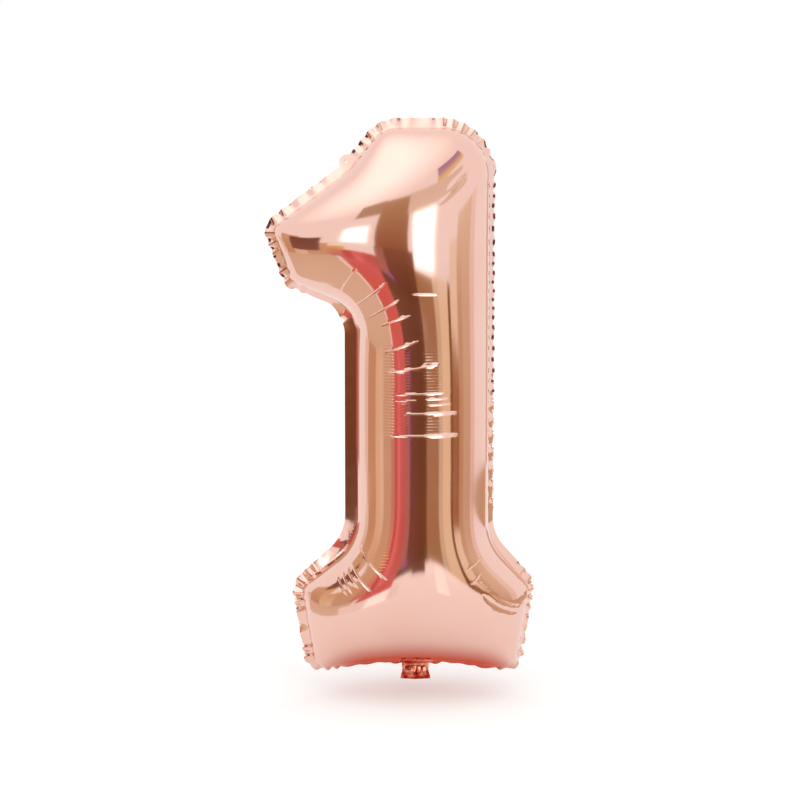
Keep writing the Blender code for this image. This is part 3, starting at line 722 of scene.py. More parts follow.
def room_between(points):
    """Half the gap between the two sheets, which is wider where the valve passes."""
    seal = (TAIL_ROOT_WIDTH - CHANNEL_WIDTH) / 4
    share_ = smooth((CHANNEL_WIDTH / 2 + seal - np.abs(points[:, 0])) / seal)
    low_ = points[:, 1] < 2 * NECK_RISE
    return SHEET_GAP / 2 + (VALVE_ROOM - SHEET_GAP / 2) * share_ * low_


def normals_of(places, faces):
    p, q, r = (places[faces[:, k]] for k in range(3))
    across = np.cross(q - p, r - p)
    each = [np.bincount(faces.ravel(), np.repeat(across[:, k], 3), len(places)) for k in range(3)]
    total = np.stack(each, -1)
    return total / np.maximum(np.linalg.norm(total, axis=1, keepdims=True), 1e-20)


def pressed_in(side):
    """How far puckers, creases and waviness press each point in."""
    arc = np.hypot(height, np.clip(-point_away, 0, None))
    wave = 0.5 + 0.5 * side * np.sin(by_length(np.unwrap(phase), np.mod(point_s, SEAM_LENGTH)))
    tight = by_length(tightness * calm, point_s)
    fade = (1 - np.exp(-arc / PUCKER_START)) * np.exp(-((arc / PUCKER_REACH) ** 2))
    pressed = PUCKER * tight * wave**3 * fade
    for start, end, bow, depth, width in crease_lines():
        t, off = along_crease(plan, start, end, bow)
        taper = smooth(t / CREASE_IN) * smooth((1 - t) / CREASE_OUT)
        pressed += depth * taper * np.exp(-((off / width) ** 2))
    wavy = sum(
        strength * np.array([noise.noise((across * x, up * z, apart * side)) for x, z in plan])
        for strength, across, up, apart in FILM_WAVES
    )
    return pressed + WAVINESS * smooth(arc / WAVINESS_START) * wavy


def places_of(side):
    """Each flat point's place in space: side is -1 for the front sheet and 1 for the back."""
    room = room_between(plan)
    angle = by_length(swing, point_s)
    base = seam_point(point_s)
    out = seam_out(point_s)
    wobble = WOBBLE * by_length(np.sin(phase) * tightness * calm, point_s)
    outside = np.clip(point_away, 0, None)
    width = by_length(seam_margin, point_s)
    rim = by_length(rim_angle, point_s)
    flat_part = np.minimum(outside, RIM_START * width)
    rim_part = outside - flat_part
    reach = flat_part * np.cos(angle) + rim_part * np.cos(rim) - side * room * np.sin(angle)
    back = flat_part * np.sin(angle) + rim_part * np.sin(rim) + side * room * np.cos(angle)
    neck = neck_share(point_s) * NECK_BULGE * np.sin(math.pi * np.clip(outside / width, 0, 1))
    margin = np.zeros((len(plan), 3))
    margin[:, 0] = base[:, 0] + reach * out[:, 0]
    margin[:, 2] = base[:, 1] + reach * out[:, 1]
    margin[:, 1] = back + side * neck + wobble
    shell = np.zeros((len(plan), 3))
    shell[:, 0], shell[:, 2] = plan[:, 0], plan[:, 1]
    fade = np.exp(-np.hypot(height, point_away) / WOBBLE_REACH)
    shell[:, 1] = side * (room + height) + wobble * fade
    places = np.where(held[:, None], margin, shell)
    out_ = normals_of(shell, inner_faces)
    out_ *= np.sign(out_[:, 1:2]) * side
    places -= out_ * (pressed_in(side) * ~held)[:, None]
    return places


# %% [markdown]
# ## The two sheets
#
# Both sheets are cut from the same digit, so each is a copy of the flat mesh with its own
# places. Solidify gives the film a wall. A UV map keeps, for each corner, its length along the
# seam and its distance from it, so that the material can follow the weld. The weld, the rim's
# fold and the cut edge are sharp. The neck's faces get a red finish, painted reflection of the
# foil in itself, and the rim's dashes get a dark one, painted shade, so those faces have slots of
# their own.

# %% Make the front and back sheets
FILM_WALL = 0.0003
ON_NECK = 0.6
ON_LINE = 0.01  # of the margin's width
ON_FOLD = 1e-6
# The rim's dashes get a dark finish, painted shade, above this height, from this share of the margin on
# the flag's side, and where the margin faces this much to a side.
RIM_SHADE_ABOVE = 0.34  # the height from which the rim's dashes are darker
RIM_SHADE_FROM_LEFT = 4 / MARGIN_ROWS  # of the margin's width, on the flag's side
RIM_SHADE_BESIDE = 0.62  # where the margin faces at least this much to a side
PLAIN, NECK_PAINTED_REFLECTION, PAINTED_RIM_SHADE = 0, 1, 2  # the sheets' material slots


def add_piece(name, bm):
    """Makes an object of a bmesh, shaded smooth, at the origin."""
    mesh = bpy.data.meshes.new(name)
    for face in bm.faces:
        face.smooth = True
    bm.to_mesh(mesh)
    bm.free()
    made = bpy.data.objects.new(name, mesh)
    bpy.context.scene.collection.objects.link(made)
    return made


def add_wall(piece, thickness=FILM_WALL):
    wall = piece.modifiers.new("wall", "SOLIDIFY")
    wall.thickness = thickness
    wall.offset = 1.0


def turn_outward(bm, side):
    """Turns a sheet's faces to the front or the back, away from its middle."""
    bmesh.ops.recalc_face_normals(bm, faces=bm.faces)
    if sum(face.normal.y * face.calc_area() for face in bm.faces) * side < 0:
        bmesh.ops.reverse_faces(bm, faces=bm.faces)


def map_seam(bm):
    """The UV map: the length along the seam and the distance outside it, in metres."""
    layer = bm.loops.layers.uv.new("seam")
    for face in bm.faces:
        around = [point_s[vert.index] for vert in face.verts]
        wraps = max(around) - min(around) > SEAM_LENGTH / 2
        for corner, s in zip(face.loops, around):
            s += SEAM_LENGTH * (wraps and s < SEAM_LENGTH / 2)
            corner[layer].uv = (s, point_away[corner.vert.index])


def sharpen(bm, fold_share):
    """Marks the cut edge, the weld and the rim's fold as sharp."""
    for edge in bm.edges:
        at = fold_share[[vert.index for vert in edge.verts]]
        level = np.ptp(at) < ON_LINE
        on_weld, on_rim = abs(at[0]) < ON_FOLD, abs(at[0] - RIM_START) < ON_LINE
        edge.smooth = not (edge.is_boundary or level and (on_weld or on_rim))


def assign_slots(bm, fold_share):
    neck, out = neck_share(point_s), seam_out(point_s)
    # The neck's faces take the red finish of painted reflection.
    on_neck = (neck > ON_NECK) & (point_away > -ON_FOLD)
    inner = np.where(out[:, 0] < 0, RIM_SHADE_FROM_LEFT, RIM_START)
    # The rim's dashes that get the dark finish of painted shade.
    rim_shaded = DASH_SHARE + DASH_EDGE * by_length(np.sin(rim_phase), point_s) > 0.5
    rim_shaded &= (fold_share > inner - ON_LINE) & (by_length(stretched, point_s) < 0.5)
    rim_shaded &= (np.abs(out[:, 0]) > RIM_SHADE_BESIDE) & (neck == 0)
    rim_shaded &= seam_point(point_s)[:, 1] > RIM_SHADE_ABOVE
    for face in bm.faces:
        around = [vert.index for vert in face.verts]
        other = PAINTED_RIM_SHADE if rim_shaded[around].all() else PLAIN
        face.material_index = NECK_PAINTED_REFLECTION if on_neck[around].all() else other


def make_sheet(name, side):
    bm = flat.copy()
    bm.verts.index_update()
    map_seam(bm)
    for vert, place in zip(bm.verts, places_of(side)):
        vert.co = place
    turn_outward(bm, side)
    fold_share = point_away / by_length(seam_margin, point_s)
    sharpen(bm, fold_share)
    assign_slots(bm, fold_share)
    piece = add_piece(name, bm)
    add_wall(piece)
    return piece


front_sheet = make_sheet("front_foil_sheet", -1)
back_sheet = make_sheet("back_foil_sheet", 1)
flat.free()
for piece, node in ((front_sheet, "front_foil_panel"), (back_sheet, "back_foil_panel")):
    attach(piece, "envelope")
    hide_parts(node)
    print(piece.name, len(piece.data.vertices), "points,", len(piece.data.polygons), "faces")

# %% [markdown]
# ## The tail
#
# Below the fold the same two sheets go on as a short open neck, welded down both sides, bowed
# open and crumpled, with its mouth turned in. It has pieces of its own, since the real tail bends
# at the fold.

# %% Make the tail
TAIL_LENGTH = 0.018
TAIL_WAIST_WIDTH = 0.0325
TAIL_MOUTH_WIDTH = 0.0375
TAIL_WAIST = 0.3  # of the tail's length
TAIL_OPENING = 0.0032
TAIL_OPEN_BY = 0.55  # of its length
TAIL_COLUMNS, TAIL_ROWS = 56, 30
HEM = 0.0016
HEM_START = 0.8  # of the tail's length
HEM_MOST = 0.8  # of the bow
CRUMPLE = 0.00045
FOLDS = [  # strength, radians per half width and per length, and the sheet's own part
    (1.0, 7, 0, 1),
    (0.7, 17, 4, 0),
    (1.0, 3, 5, 0),
]


def grid_of(columns, rows, place_at, shade_at=None):
    """A grid with each vertex at place_at(u, v), where u and v go from 0 to 1.

    Given shade_at, its UV map "shade" holds shade_at(u, v).
    """
    bm = bmesh.new()
    verts = bmesh.ops.create_grid(bm, x_segments=columns, y_segments=rows, size=0.5)["verts"]
    shares = {vert: (vert.co.x + 0.5, vert.co.y + 0.5) for vert in verts}
    if shade_at:
        layer = bm.loops.layers.uv.new("shade")
        for face in bm.faces:
            for corner in face.loops:
                corner[layer].uv = shade_at(*shares[corner.vert])
    for vert, (u, v) in shares.items():
        vert.co = place_at(u, v)
    return bm


def tail_half_width(drop):
    narrow = TAIL_ROOT_WIDTH + (TAIL_WAIST_WIDTH - TAIL_ROOT_WIDTH) * smooth(drop / TAIL_WAIST)
    flare = (TAIL_MOUTH_WIDTH - TAIL_WAIST_WIDTH) * smooth((drop - TAIL_WAIST) / (1 - TAIL_WAIST))
    return (narrow + flare) / 2


def make_tail(name, side):
    def place_at(u, v):
        across = 2 * u - 1
        z = NECK_END - (1 - v) * (NECK_END + TAIL_LENGTH)
        drop = max(0.0, -z / TAIL_LENGTH)
        inner = room_between(np.array([[across * TAIL_ROOT_WIDTH / 2, 0.0]]))[0]
        open_ = smooth(drop / TAIL_OPEN_BY)
        bow = TAIL_OPENING * open_ * (1 - across**2)
        hem = min(HEM * smooth((drop - HEM_START) / (1 - HEM_START)), HEM_MOST * bow)
        fold = sum(
            strength * math.sin(sideways * across + down * drop + own * side)
            for strength, sideways, down, own in FOLDS
        )
        fold *= CRUMPLE * open_ * (1 - across**4)
        return (across * tail_half_width(drop), side * (inner + bow - hem) + fold, z)

    bm = grid_of(TAIL_COLUMNS, TAIL_ROWS, place_at)
    turn_outward(bm, side)
    piece = add_piece(name, bm)
    add_wall(piece)
    return piece


def bend_at_fold(piece):
    """Bakes the piece's place into its mesh."""
    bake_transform(piece)


front_tail = make_tail("front_tail_foil", -1)
back_tail = make_tail("back_tail_foil", 1)
for piece, node in ((front_tail, "front_tail_tongue"), (back_tail, "back_tail_tongue")):
    bend_at_fold(piece)
    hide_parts(node)
print(f"tail: {len(front_tail.data.polygons)} faces in each half")

# %% [markdown]
# ## The valve
#
# Two strips of clear polyethylene run through the neck. Gas pushes them together from inside,
# and that is what keeps the balloon full. They cross the fold.

# %% Make the valve films
VALVE_WALL = 0.0002
FILM_COLUMNS, FILM_ROWS = 8, 60


def make_film(name, node, side):
    low_corner, high_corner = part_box(node)
    size = high_corner - low_corner
    inner_y = (low_corner.y, high_corner.y)[side < 0]

    def place_at(u, v):
        return (low_corner.x + u * size.x, inner_y, low_corner.z + v * size.z)

    bm = grid_of(FILM_COLUMNS, FILM_ROWS, place_at)
    turn_outward(bm, side)
    piece = add_piece(name, bm)
    add_wall(piece, VALVE_WALL)
    return piece


front_film = make_film("front_valve_film", "valve_front_film", -1)
back_film = make_film("back_valve_film", "valve_back_film", 1)
for piece, node in ((front_film, "valve_front_film"), (back_film, "valve_back_film")):
    bend_at_fold(piece)
    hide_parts(node)
print(f"valve: {len(front_film.data.polygons)} faces in each film")

# %% [markdown]
# ## The foil's finish
#
# The film is polyester with a layer of aluminium, tinted rose gold by a lacquer. Light never
# gets past the metal, so it is a metal to the shader: almost a mirror, with all its colour in
# the reflection. The lacquer makes the gloss a little uneven. The weld was pressed by a heated
# wheel with teeth, which leaves fine ticks across it, and where the stem bends under the flag the
# film is drawn into level wrinkles too fine for the mesh. Both are a bump here.

# %% Metallised film
def make_material(name):
    made = bpy.data.materials.new(name)
    made.use_nodes = True
    tree = made.node_tree
    return made, tree, tree.nodes["Principled BSDF"]


def finish_foil(name, pale, deep, dull, shiny, clouds=14.0, spread=0.5):
    """Lacquered film between two colours and two roughnesses, by a cloudy pattern."""
    made, tree_, shader_ = make_material(name)
    shader_.inputs["Metallic"].default_value = 1.0
    place = add_node(tree_, "ShaderNodeTexCoord").outputs["Object"]
    cloudy = add_node(tree_, "ShaderNodeTexNoise", {"Scale": clouds, "Detail": 2.0}, {"Vector": place})
    tint = add_node(tree_, "ShaderNodeValToRGB", links={"Fac": cloudy.outputs["Fac"]})
    for stop, at, colour in zip(tint.color_ramp.elements, (0.5 - spread, 0.5 + spread), (deep, pale)):
        stop.position, stop.color = at, linear(colour)
    gloss = add_node(
        tree_, "ShaderNodeMapRange", {"To Min": shiny, "To Max": dull}, {"Value": cloudy.outputs["Fac"]}
    )
    tree_.links.new(tint.outputs["Color"], shader_.inputs["Base Color"])
    tree_.links.new(gloss.outputs["Result"], shader_.inputs["Roughness"])
    return made, tree_, shader_, place


def calculated(tree_, operation, *values):
    """The values taken together, one after another, by a Math node's operation."""
    total = values[0]
    for value in values[1:]:
        links = {0: total, 1: value}
        total = add_node(tree_, "ShaderNodeMath", links=links, operation=operation).outputs[0]
    return total


def scaled(tree_, value, factor):
    return add_node(tree_, "ShaderNodeMath", {1: factor}, {0: value}, operation="MULTIPLY").outputs[0]


def window(tree_, value, low_, high_, soft):
    """1 where the value is between low and high, fading to 0 outside over the soft length."""
    sides = []
    for none, all_ in ((low_ - soft, low_), (high_ + soft, high_)):
        sides.append(add_node(
            tree_, "ShaderNodeMapRange", {"From Min": none, "From Max": all_}, {"Value": value},
            interpolation_type="SMOOTHSTEP",
        ).outputs[0])
    return calculated(tree_, "MULTIPLY", *sides)


def waves(tree_, value, pitch):
    """A sine along the value, one wave to each pitch."""
    turned = scaled(tree_, value, 2 * math.pi / pitch)
    return add_node(tree_, "ShaderNodeMath", links={0: turned}, operation="SINE").outputs[0]


TICK_PITCH = 0.0045  # drawn coarser than real, where a wheel's teeth are 1 to 2 mm apart
TICK_STRENGTH = 0.2
WELD_FROM, WELD_TO, WELD_SOFT = -0.0022, 0.0002, 0.0006  # outside the seam
WRINKLE_PITCH = 0.0037  # drawn coarser than real: finer ones would be lost between pixels
WRINKLE_SOFT_X, WRINKLE_SOFT_Z = 0.006, 0.012
WRINKLED = [  # from and to across, from and to in height, and how strong
    (-0.040, -0.030, 0.305, 0.405, 0.60),
    (-0.024, -0.014, 0.310, 0.370, 0.32),
    (-0.030, 0.034, 0.300, 0.395, 0.20),
    (-0.050, -0.036, 0.140, 0.200, 0.44),
]

foil, tree, shader, place = finish_foil("lacquered_metallised_film", "#F4CBBE", "#F0C2B3", 0.11, 0.07)
along_seam = add_node(tree, "ShaderNodeUVMap", uv_map="seam")
split = add_node(tree, "ShaderNodeSeparateXYZ", links={"Vector": along_seam.outputs["UV"]})
at_weld = window(tree, split.outputs["Y"], WELD_FROM, WELD_TO, WELD_SOFT)
ticks = calculated(tree, "MULTIPLY", waves(tree, split.outputs["X"], TICK_PITCH), at_weld)
reliefs = [scaled(tree, ticks, TICK_STRENGTH)]
split = add_node(tree, "ShaderNodeSeparateXYZ", links={"Vector": place})
level = waves(tree, split.outputs["Z"], WRINKLE_PITCH)
patchy = add_node(tree, "ShaderNodeTexNoise", {"Scale": 160.0, "Detail": 1.0}, {"Vector": place})
for left_, right_, bottom_, top_, strength in WRINKLED:
    across = window(tree, split.outputs["X"], left_, right_, WRINKLE_SOFT_X)
    up = window(tree, split.outputs["Z"], bottom_, top_, WRINKLE_SOFT_Z)
    part = calculated(tree, "MULTIPLY", level, across, up, patchy.outputs["Fac"])
    reliefs.append(scaled(tree, part, strength))
relief = calculated(tree, "ADD", *reliefs)
bump = add_node(tree, "ShaderNodeBump", {"Strength": 0.5, "Distance": 0.0002}, {"Height": relief})
tree.links.new(bump.outputs["Normal"], shader.inputs["Normal"])

# The neck and tail get a red finish in small patches from pale to deep red: painted reflection of the foil
# in its own folds.
neck_reflection_foil, *_ = finish_foil(
    "neck_film_painted_reflection", "#F0A088", "#B02E1C", 0.16, 0.10, clouds=90.0, spread=0.12
)
# The rim's dashes get a dark brown finish: painted shade.
rim_shade_foil, *_ = finish_foil("rim_film_painted_shade", "#7A5048", "#4A2A26", 0.30, 0.20)

film, tree, shader = make_material("clear_polyethylene_film")
shader.inputs["Base Color"].default_value = linear("#E9EEF0")
shader.inputs["Roughness"].default_value = 0.25
shader.inputs["Transmission Weight"].default_value = 0.8
shader.inputs["IOR"].default_value = 1.5

for piece in (front_sheet, back_sheet):
    for material in (foil, neck_reflection_foil, rim_shade_foil):  # PLAIN, NECK_PAINTED_REFLECTION, PAINTED_RIM_SHADE
        piece.data.materials.append(material)
for piece in (front_tail, back_tail):
    piece.data.materials.append(neck_reflection_foil)
for piece in (front_film, back_film):
    piece.data.materials.append(film)
print("materials:", foil.name, neck_reflection_foil.name, rim_shade_foil.name, film.name)

# %% [markdown]
# ## The floor
#
# A mirror shows what stands round it, so the studio matters as much as the metal. The floor is
# pale and the world is white. The balloon's shadow stays on it, and a little glow, most of it
# only for the camera, lifts the rest to the white of the background.

# %% Floor
def level_quad(name, x_ends, y_ends, z):
    """A level quad between two ends across and two ends in depth."""
    def place_at(u, v):
        return (x_ends[0] + u * (x_ends[1] - x_ends[0]), y_ends[0] + v * (y_ends[1] - y_ends[0]), z)

    made = add_piece(name, grid_of(1, 1, place_at))
    made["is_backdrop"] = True
    return made


def show(tree_, shader_):
    tree_.links.new(shader_.outputs[0], tree_.nodes["Material Output"].inputs["Surface"])


FLOOR_DROP = 0.035
FLOOR_ENDS = (-40.0, 40.0)
CAMERA_GLOW, FLOOR_GLOW = 0.10, 0.06
floor = level_quad("floor", FLOOR_ENDS, FLOOR_ENDS, -FLOOR_DROP)
pale, tree, shader = make_material("matt_white_floor")
shader.inputs["Base Color"].default_value = linear("#F6F6F5")
shader.inputs["Roughness"].default_value = 0.9
shader.inputs["Specular IOR Level"].default_value = 0.0
seen = add_node(tree, "ShaderNodeLightPath").outputs["Is Camera Ray"]
lift = add_node(
    tree, "ShaderNodeMath", {1: CAMERA_GLOW, 2: FLOOR_GLOW}, {0: seen}, operation="MULTIPLY_ADD"
)
glow = add_node(tree, "ShaderNodeEmission", {"Color": linear("#FFFFFF")}, {"Strength": lift.outputs[0]})
show(tree, add_node(tree, "ShaderNodeAddShader", links={0: shader.outputs[0], 1: glow.outputs[0]}))
floor.data.materials.append(pale)
print(f"floor: {1000 * FLOOR_DROP:.0f} mm under the fold")

# %% [markdown]
# ## Painted cards
#
# Cards in browns, creams and reds stand round the balloon and lie on the floor, as a room's
# walls and furniture would. An angle is counted round the balloon from the front, to the right.
# Each card is shaded from one colour to another. Only reflections show them, so they add no light
# and no shadow. White skirts close to the foot hide what lies behind them.

# %% Painted cards
CARD_DISTANCE = 2.2
CARD_COLUMNS = 12
UNDER = -FLOOR_DROP
LIFT = 0.002  # above the floor
NEARER = CARD_DISTANCE - 0.02
STANDING = [
    # from and to in degrees round the balloon, from and to in height, colours at foot and top
    (-116, -106, UNDER, 0.48, "#F0E3D3", "#E6D8C8"),
    (-106, -87, UNDER, 1.05, "#CCA482", "#DCBC98"),
    (-87, -78, UNDER, 1.05, "#E7D0AE", "#DCBC98"),
    (-78, -70, UNDER, 0.62, "#EDDDC4", "#D8B890"),
    (-70, -55, UNDER, 0.62, "#D0B59A", "#D8B48C"),
    (-55, -46, 0.34, 0.48, "#E2BC48", "#E8D078"),
    (-55, -48, UNDER, 0.34, "#C58F7B", "#E0A08E"),
    (-48, -43, UNDER, 0.32, "#CE6468", "#D25A52"),
    (-43, -38, UNDER, 0.32, "#E88C94", "#E6786E"),
    (-38, -34, UNDER, 0.32, "#D6787C", "#D4645C"),
    (-34, -27, UNDER, 0.32, "#CC7674", "#CC5C54"),
    (-27, -20, UNDER, 0.60, "#BA7C78", "#A87766"),
    (-20, -12, UNDER, 0.60, "#7A4C46", "#8F6047"),
    (-12, -5, UNDER, 0.60, "#744A3C", "#8F6047"),
    (-5, 8, UNDER, 0.60, "#704628", "#8F6047"),
    (-26, 4, 0.60, 2.03, "#9C6A4C", "#BEA17C"),
    (-47, -24, 1.62, 2.06, "#BCA385", "#BCA385"),
    (8, 29, UNDER, 0.32, "#A47C54", "#B08C66"),
    (29, 36, UNDER, 0.35, "#CDBB99", "#E6DCC4"),
    (36, 50, UNDER, 0.35, "#E9D6AC", "#F2E8CE"),
    (50, 54, UNDER, 0.34, "#7E4C28", "#8A5834"),
    (54, 66, UNDER, 0.14, "#9A683E", "#A67650"),
    (54, 66, 0.14, 0.70, "#F2E6CC", "#F6EEDC"),
    (66, 74, UNDER, 0.95, "#C39D78", "#F0E4D0"),
    (74, 90, UNDER, 0.95, "#D2B99D", "#EEDFC6"),
    (90, 100, UNDER, 0.95, "#EEDCD1", "#F8F0E8"),
    (2, 75, 1.45, 2.10, "#EAE0D0", "#E6DACA"),
    (140, 150, UNDER, 1.05, "#D8BCA4", "#E0C8B4"),
    (165, 196, UNDER, 1.05, "#7C5A44", "#94705A"),
    (-150, -136, UNDER, 1.05, "#C09C80", "#D0B498"),
]
LYING = [
    # from and to in degrees, from and to in distance, colours at the near and far edge
    (-110, -52, 0.50, CARD_DISTANCE, "#E4D2BC", "#DCC6AA"),
    (-50, -28, 0.50, CARD_DISTANCE, "#D86858", "#DC7878"),
    (-28, -10, 1.35, CARD_DISTANCE, "#7A5238", "#744F3C"),
    (-10, 5, 0.95, CARD_DISTANCE, "#7A5238", "#744F3C"),
    (5, 9, 1.95, CARD_DISTANCE, "#7A5238", "#744F3C"),
    (62, 140, 0.60, CARD_DISTANCE, "#D8BEA4", "#C8A888"),
]
OTHER = [
    # from and to in degrees, two edges as (distance, height), their colours, climb and strength
    (-88, -60, (0.9, 0.40), (0.9, 0.69), "#8A6252", "#7E5648", 0.0, 1.0),
    (34, 84, (1.0, 1.38), (1.0, 1.64), "#C8A8C4", "#A888AC", 0.36, 1.0),
    (34, 84, (1.0, 1.18), (1.0, 1.38), "#F0E6C8", "#DCC080", 0.36, 1.0),
    (-60, -20, (0.5, UNDER), (0.5, 0.040), "#FAF6F4", "#FAF6F4", 0.0, 1.0),
    (-10, 5, (0.94, UNDER), (0.94, 0.002), "#FAF6F4", "#FAF6F4", 0.0, 1.0),
    # The next two white cards, brighter than 1, are painted highlights: lamp light on the floor, which
    # only mirrors show.
    (-42, -28, (0.49, UNDER), (0.49, 0.036), "#FFFFFF", "#FFFFFF", 0.0, 1.3),
    (16, 27, (0.5, UNDER + 2 * LIFT), (1.9, UNDER + 2 * LIFT), "#FFFFFF", "#FFFFFF", 0.0, 1.25),
    (-24, -17, (NEARER, UNDER), (NEARER, 0.02), "#B866C0", "#A878A8", 0.0, 1.0),
]


def hide_but_in_mirrors(piece):
    for kind in ("camera", "diffuse", "shadow", "transmission"):
        setattr(piece, f"visible_{kind}", False)


def glow_on(piece, name, strength=1.0, colour="#FFFFFF"):
    """Gives the piece a glow that only mirrors show, and gives its tree and glow node."""
    made, tree_, _ = make_material(name)
    glow_ = add_node(tree_, "ShaderNodeEmission", {"Color": linear(colour), "Strength": strength})
    show(tree_, glow_)
    piece.data.materials.append(made)
    hide_but_in_mirrors(piece)
    return tree_, glow_


def clear_around(tree_, glow_, shown):
    """Lets what lies behind the glow show where shown is below 1."""
    clear = add_node(tree_, "ShaderNodeBsdfTransparent")
    links = {0: shown, 1: clear.outputs[0], 2: glow_.outputs[0]}
    show(tree_, add_node(tree_, "ShaderNodeMixShader", links=links))


def make_card(first_, last_, start, end, start_colour, end_colour, climb=0.0, strength=1.0):
    """A curved card between two angles, from one (distance, height) to another.

    Its last end stands higher than its first by the climb.
    """
    def place_at(u, v):
        a = math.radians(first_ + u * (last_ - first_))
        reach, z = end if v > 0.5 else start
        return (reach * math.sin(a), -reach * math.cos(a), z + climb * u)

    bm = grid_of(CARD_COLUMNS, 1, place_at, shade_at=lambda u, v: (u, v))
    card = add_piece(f"card_{first_}_{last_}_{start[1]:.2f}_{start[0]:.2f}", bm)
    card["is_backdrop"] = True
    tree_, glow_ = glow_on(card, f"painted_card_{start_colour[1:]}_{end_colour[1:]}", strength)
    spread = add_node(tree_, "ShaderNodeUVMap", uv_map="shade")
    upward = add_node(tree_, "ShaderNodeSeparateXYZ", links={"Vector": spread.outputs["UV"]}).outputs["Y"]
    shade = add_node(tree_, "ShaderNodeValToRGB", links={"Fac": upward})
    for stop, colour in zip(shade.color_ramp.elements, (start_colour, end_colour)):
        stop.color = linear(colour)
    tree_.links.new(shade.outputs["Color"], glow_.inputs["Color"])


for first_, last_, low_, high_, foot_colour, top_colour in STANDING:
    make_card(first_, last_, (CARD_DISTANCE, low_), (CARD_DISTANCE, high_), foot_colour, top_colour)
for first_, last_, near_, far_, near_colour, far_colour in LYING:
    make_card(first_, last_, (near_, UNDER + LIFT), (far_, UNDER + LIFT), near_colour, far_colour)
for row in OTHER:
    make_card(*row)
print(f"{len(STANDING)} cards stand, {len(LYING)} lie and {len(OTHER)} are nearer or brighter")

# %% [markdown]
# Under the base lies a faded red board that only mirrors show: a painted reflection of the foil in
# itself, which reddens the foot's lower edge.

# %% The board under the base
BOARD_X, BOARD_Y = (-0.15, 0.17), (-0.09, 0.35)
BOARD_RISE = 0.003
board = level_quad("board_under", BOARD_X, BOARD_Y, UNDER + BOARD_RISE)
# Its red is a painted reflection of the foil in itself.
tree, glow = glow_on(board, "red_board_painted_reflection", colour="#CB6450")
place = add_node(tree, "ShaderNodeTexCoord").outputs["Object"]
split = add_node(tree, "ShaderNodeSeparateXYZ", links={"Vector": place})
covered = [  # where the board is full, and how softly it fades
    window(tree, split.outputs["X"], -0.06, 0.08, 0.085),
    window(tree, split.outputs["Y"], 0.02, 0.10, 0.11),
]
clear_around(tree, glow, calculated(tree, "MULTIPLY", *covered))
print("board:", board.name)

# %% [markdown]
# ## Light
#
# The world is white at strength 1 for every ray. A ceiling, which only mirrors show, has a soft
# bright spot over the flag's side. Two soft boxes light the floor and the balloon. The metal
# doesn't show the lamps but their cloths, which are white with blurred edges.

# %% A glowing ceiling
CEILING = 2.6
CEILING_ENDS = (-3.0, 3.0)
SPOT_MIDDLE = (-1.0, -0.7, CEILING)
SPOT = {"From Min": 0.5, "From Max": 2.5, "To Min": 1.6, "To Max": 1.0}  # distances and strengths
ceiling = level_quad("glowing_ceiling", CEILING_ENDS, CEILING_ENDS, CEILING)
tree, glow = glow_on(ceiling, "diffuser_cloth")
place = add_node(tree, "ShaderNodeTexCoord").outputs["Object"]
away = add_node(tree, "ShaderNodeVectorMath", {1: SPOT_MIDDLE}, {0: place}, operation="DISTANCE")
spot = add_node(
    tree, "ShaderNodeMapRange", SPOT, {"Value": away.outputs["Value"]}, interpolation_type="SMOOTHSTEP"
)
tree.links.new(spot.outputs[0], glow.inputs["Strength"])
print("ceiling:", ceiling.name)

# %% Light
AIM = Vector((0, 0, 0.35))
BOX_DISTANCE = 2.0
BOX_STRENGTH = 1.5
BLUR_POWER = 3.0
SOFT_BOXES = [
    # name, azimuth and elevation, the lamp's and the cloth's size, blur at left, right and ends
    ("right", (20, 14), (0.68, 0.85), (0.66, 0.78), (0.14, 0.50, 0.22)),
    ("left", (-40, 16), (0.46, 0.44), (0.42, 0.38), (0.20, 0.20, 0.18)),
]


def toward(azimuth, elevation):
    """The direction from the balloon, with the azimuth from the front."""
    a, e = math.radians(azimuth), math.radians(elevation)
    return Vector((math.sin(a) * math.cos(e), -math.cos(a) * math.cos(e), math.sin(e)))


def soft_box(name, away, size):
    """An area light that faces the balloon and lights the floor."""
    lamp = bpy.data.lights.new(name, "AREA")
    lamp.shape = "RECTANGLE"
    lamp.size, lamp.size_y = size
    lamp.energy = BOX_STRENGTH * math.pi * size[0] * size[1]
    made = bpy.data.objects.new(name, lamp)
    bpy.context.scene.collection.objects.link(made)
    made.location = AIM + BOX_DISTANCE * away
    made.rotation_euler = away.to_track_quat("Z", "Y").to_euler()
    made.visible_glossy = False


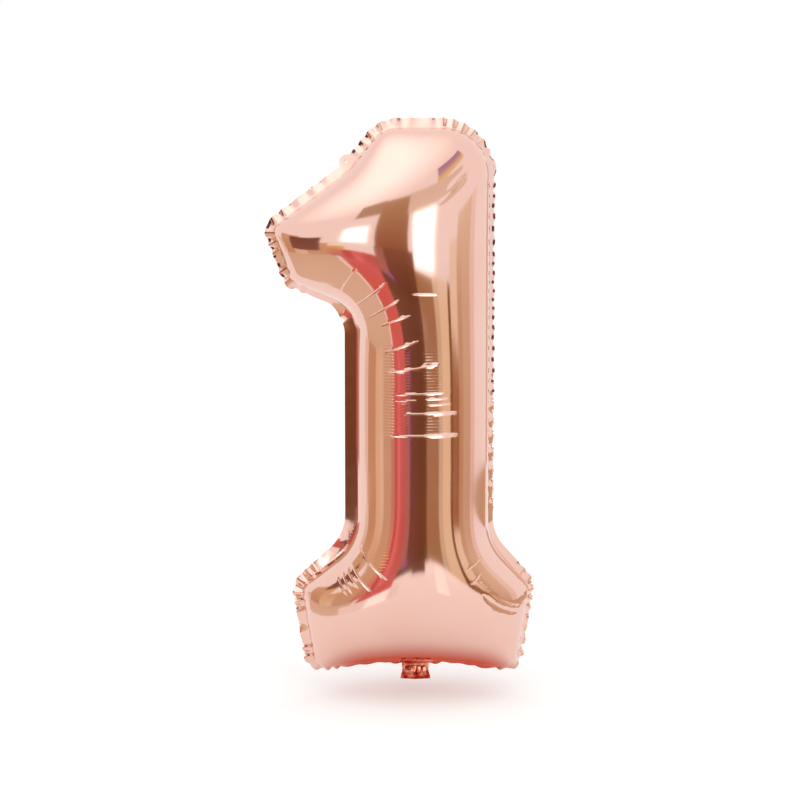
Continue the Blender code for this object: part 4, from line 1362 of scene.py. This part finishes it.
def diffuser(name, away, size, blur):
    """The soft box's cloth as the metal shows it."""
    width, tall = size
    left_blur, right_blur, level_blur = blur
    reach = Vector((width + left_blur + right_blur, tall + 2 * level_blur))
    aside = Vector((0, 0, 1)).cross(away).normalized()
    up = away.cross(aside)

    def shade_at(u, v):
        return ((u - 0.5) * reach.x + (right_blur - left_blur) / 2, (v - 0.5) * reach.y)

    def place_at(u, v):
        across, level = shade_at(u, v)
        return AIM + BOX_DISTANCE * away + across * aside + level * up

    cloth = add_piece(name, grid_of(1, 1, place_at, shade_at))
    cloth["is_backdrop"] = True
    tree_, glow_ = glow_on(cloth, f"{name}_cloth", 1 + BOX_STRENGTH)
    spread = add_node(tree_, "ShaderNodeUVMap", uv_map="shade")
    split_ = add_node(tree_, "ShaderNodeSeparateXYZ", links={"Vector": spread.outputs["UV"]})
    across_, level_ = split_.outputs["X"], split_.outputs["Y"]
    shown = calculated(
        tree_,
        "MULTIPLY",
        window(tree_, across_, -width / 2, reach.x, left_blur),
        window(tree_, across_, -reach.x, width / 2, right_blur),
        window(tree_, level_, -tall / 2, tall / 2, level_blur),
    )
    shown = add_node(tree_, "ShaderNodeMath", {1: BLUR_POWER}, {0: shown}, operation="POWER")
    clear_around(tree_, glow_, shown.outputs[0])


world = bpy.data.worlds.new("white_studio")
bpy.context.scene.world = world
world.use_nodes = True
white = world.node_tree.nodes["Background"].inputs
white["Color"].default_value, white["Strength"].default_value = linear("#FFFFFF"), 1.0
for name, angles, lamp_size, cloth_size, blur in SOFT_BOXES:
    soft_box(f"{name}_soft_box", toward(*angles), lamp_size)
    diffuser(f"{name}_diffuser", toward(*angles), cloth_size, blur)
print(f"light: a white world and {len(SOFT_BOXES)} soft boxes")

# %% [markdown]
# ## The camera
#
# The photo was taken from a little above the balloon's middle, so the camera looks down a few
# degrees. The lens is set so that the frame takes in the same height as the photo.

# %% Camera
VIEW_RISE = 6.0
VIEW_DISTANCE = 2.6
VIEW_HEIGHT = 0.995  # what the frame takes in, at the seam
VIEW_MIDDLE = Vector((-0.0194, 0.0, 0.335))
SENSOR = 36.0
rise = math.radians(VIEW_RISE)
camera = bpy.data.objects.new("camera", bpy.data.cameras.new("camera"))
bpy.context.scene.collection.objects.link(camera)
camera.location = VIEW_MIDDLE + VIEW_DISTANCE * Vector((0, -math.cos(rise), math.sin(rise)))
camera.rotation_euler = (math.pi / 2 - rise, 0, 0)
camera.data.sensor_width = SENSOR
camera.data.lens = SENSOR * VIEW_DISTANCE / VIEW_HEIGHT
bpy.context.scene.camera = camera
bpy.context.scene.view_settings.view_transform = "Standard"
print(f"camera: {camera.data.lens:.0f} mm lens")

# %% [markdown]
# Last the new pieces' box is set beside the frame's, which they have to stay in.

# %% Print both boxes
visual_box = [list(corner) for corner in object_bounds()]
for name, box in (("frame", cad_box), ("scene", visual_box)):
    print(name, "box in mm:", [[round(1000 * x, 1) for x in corner] for corner in box])
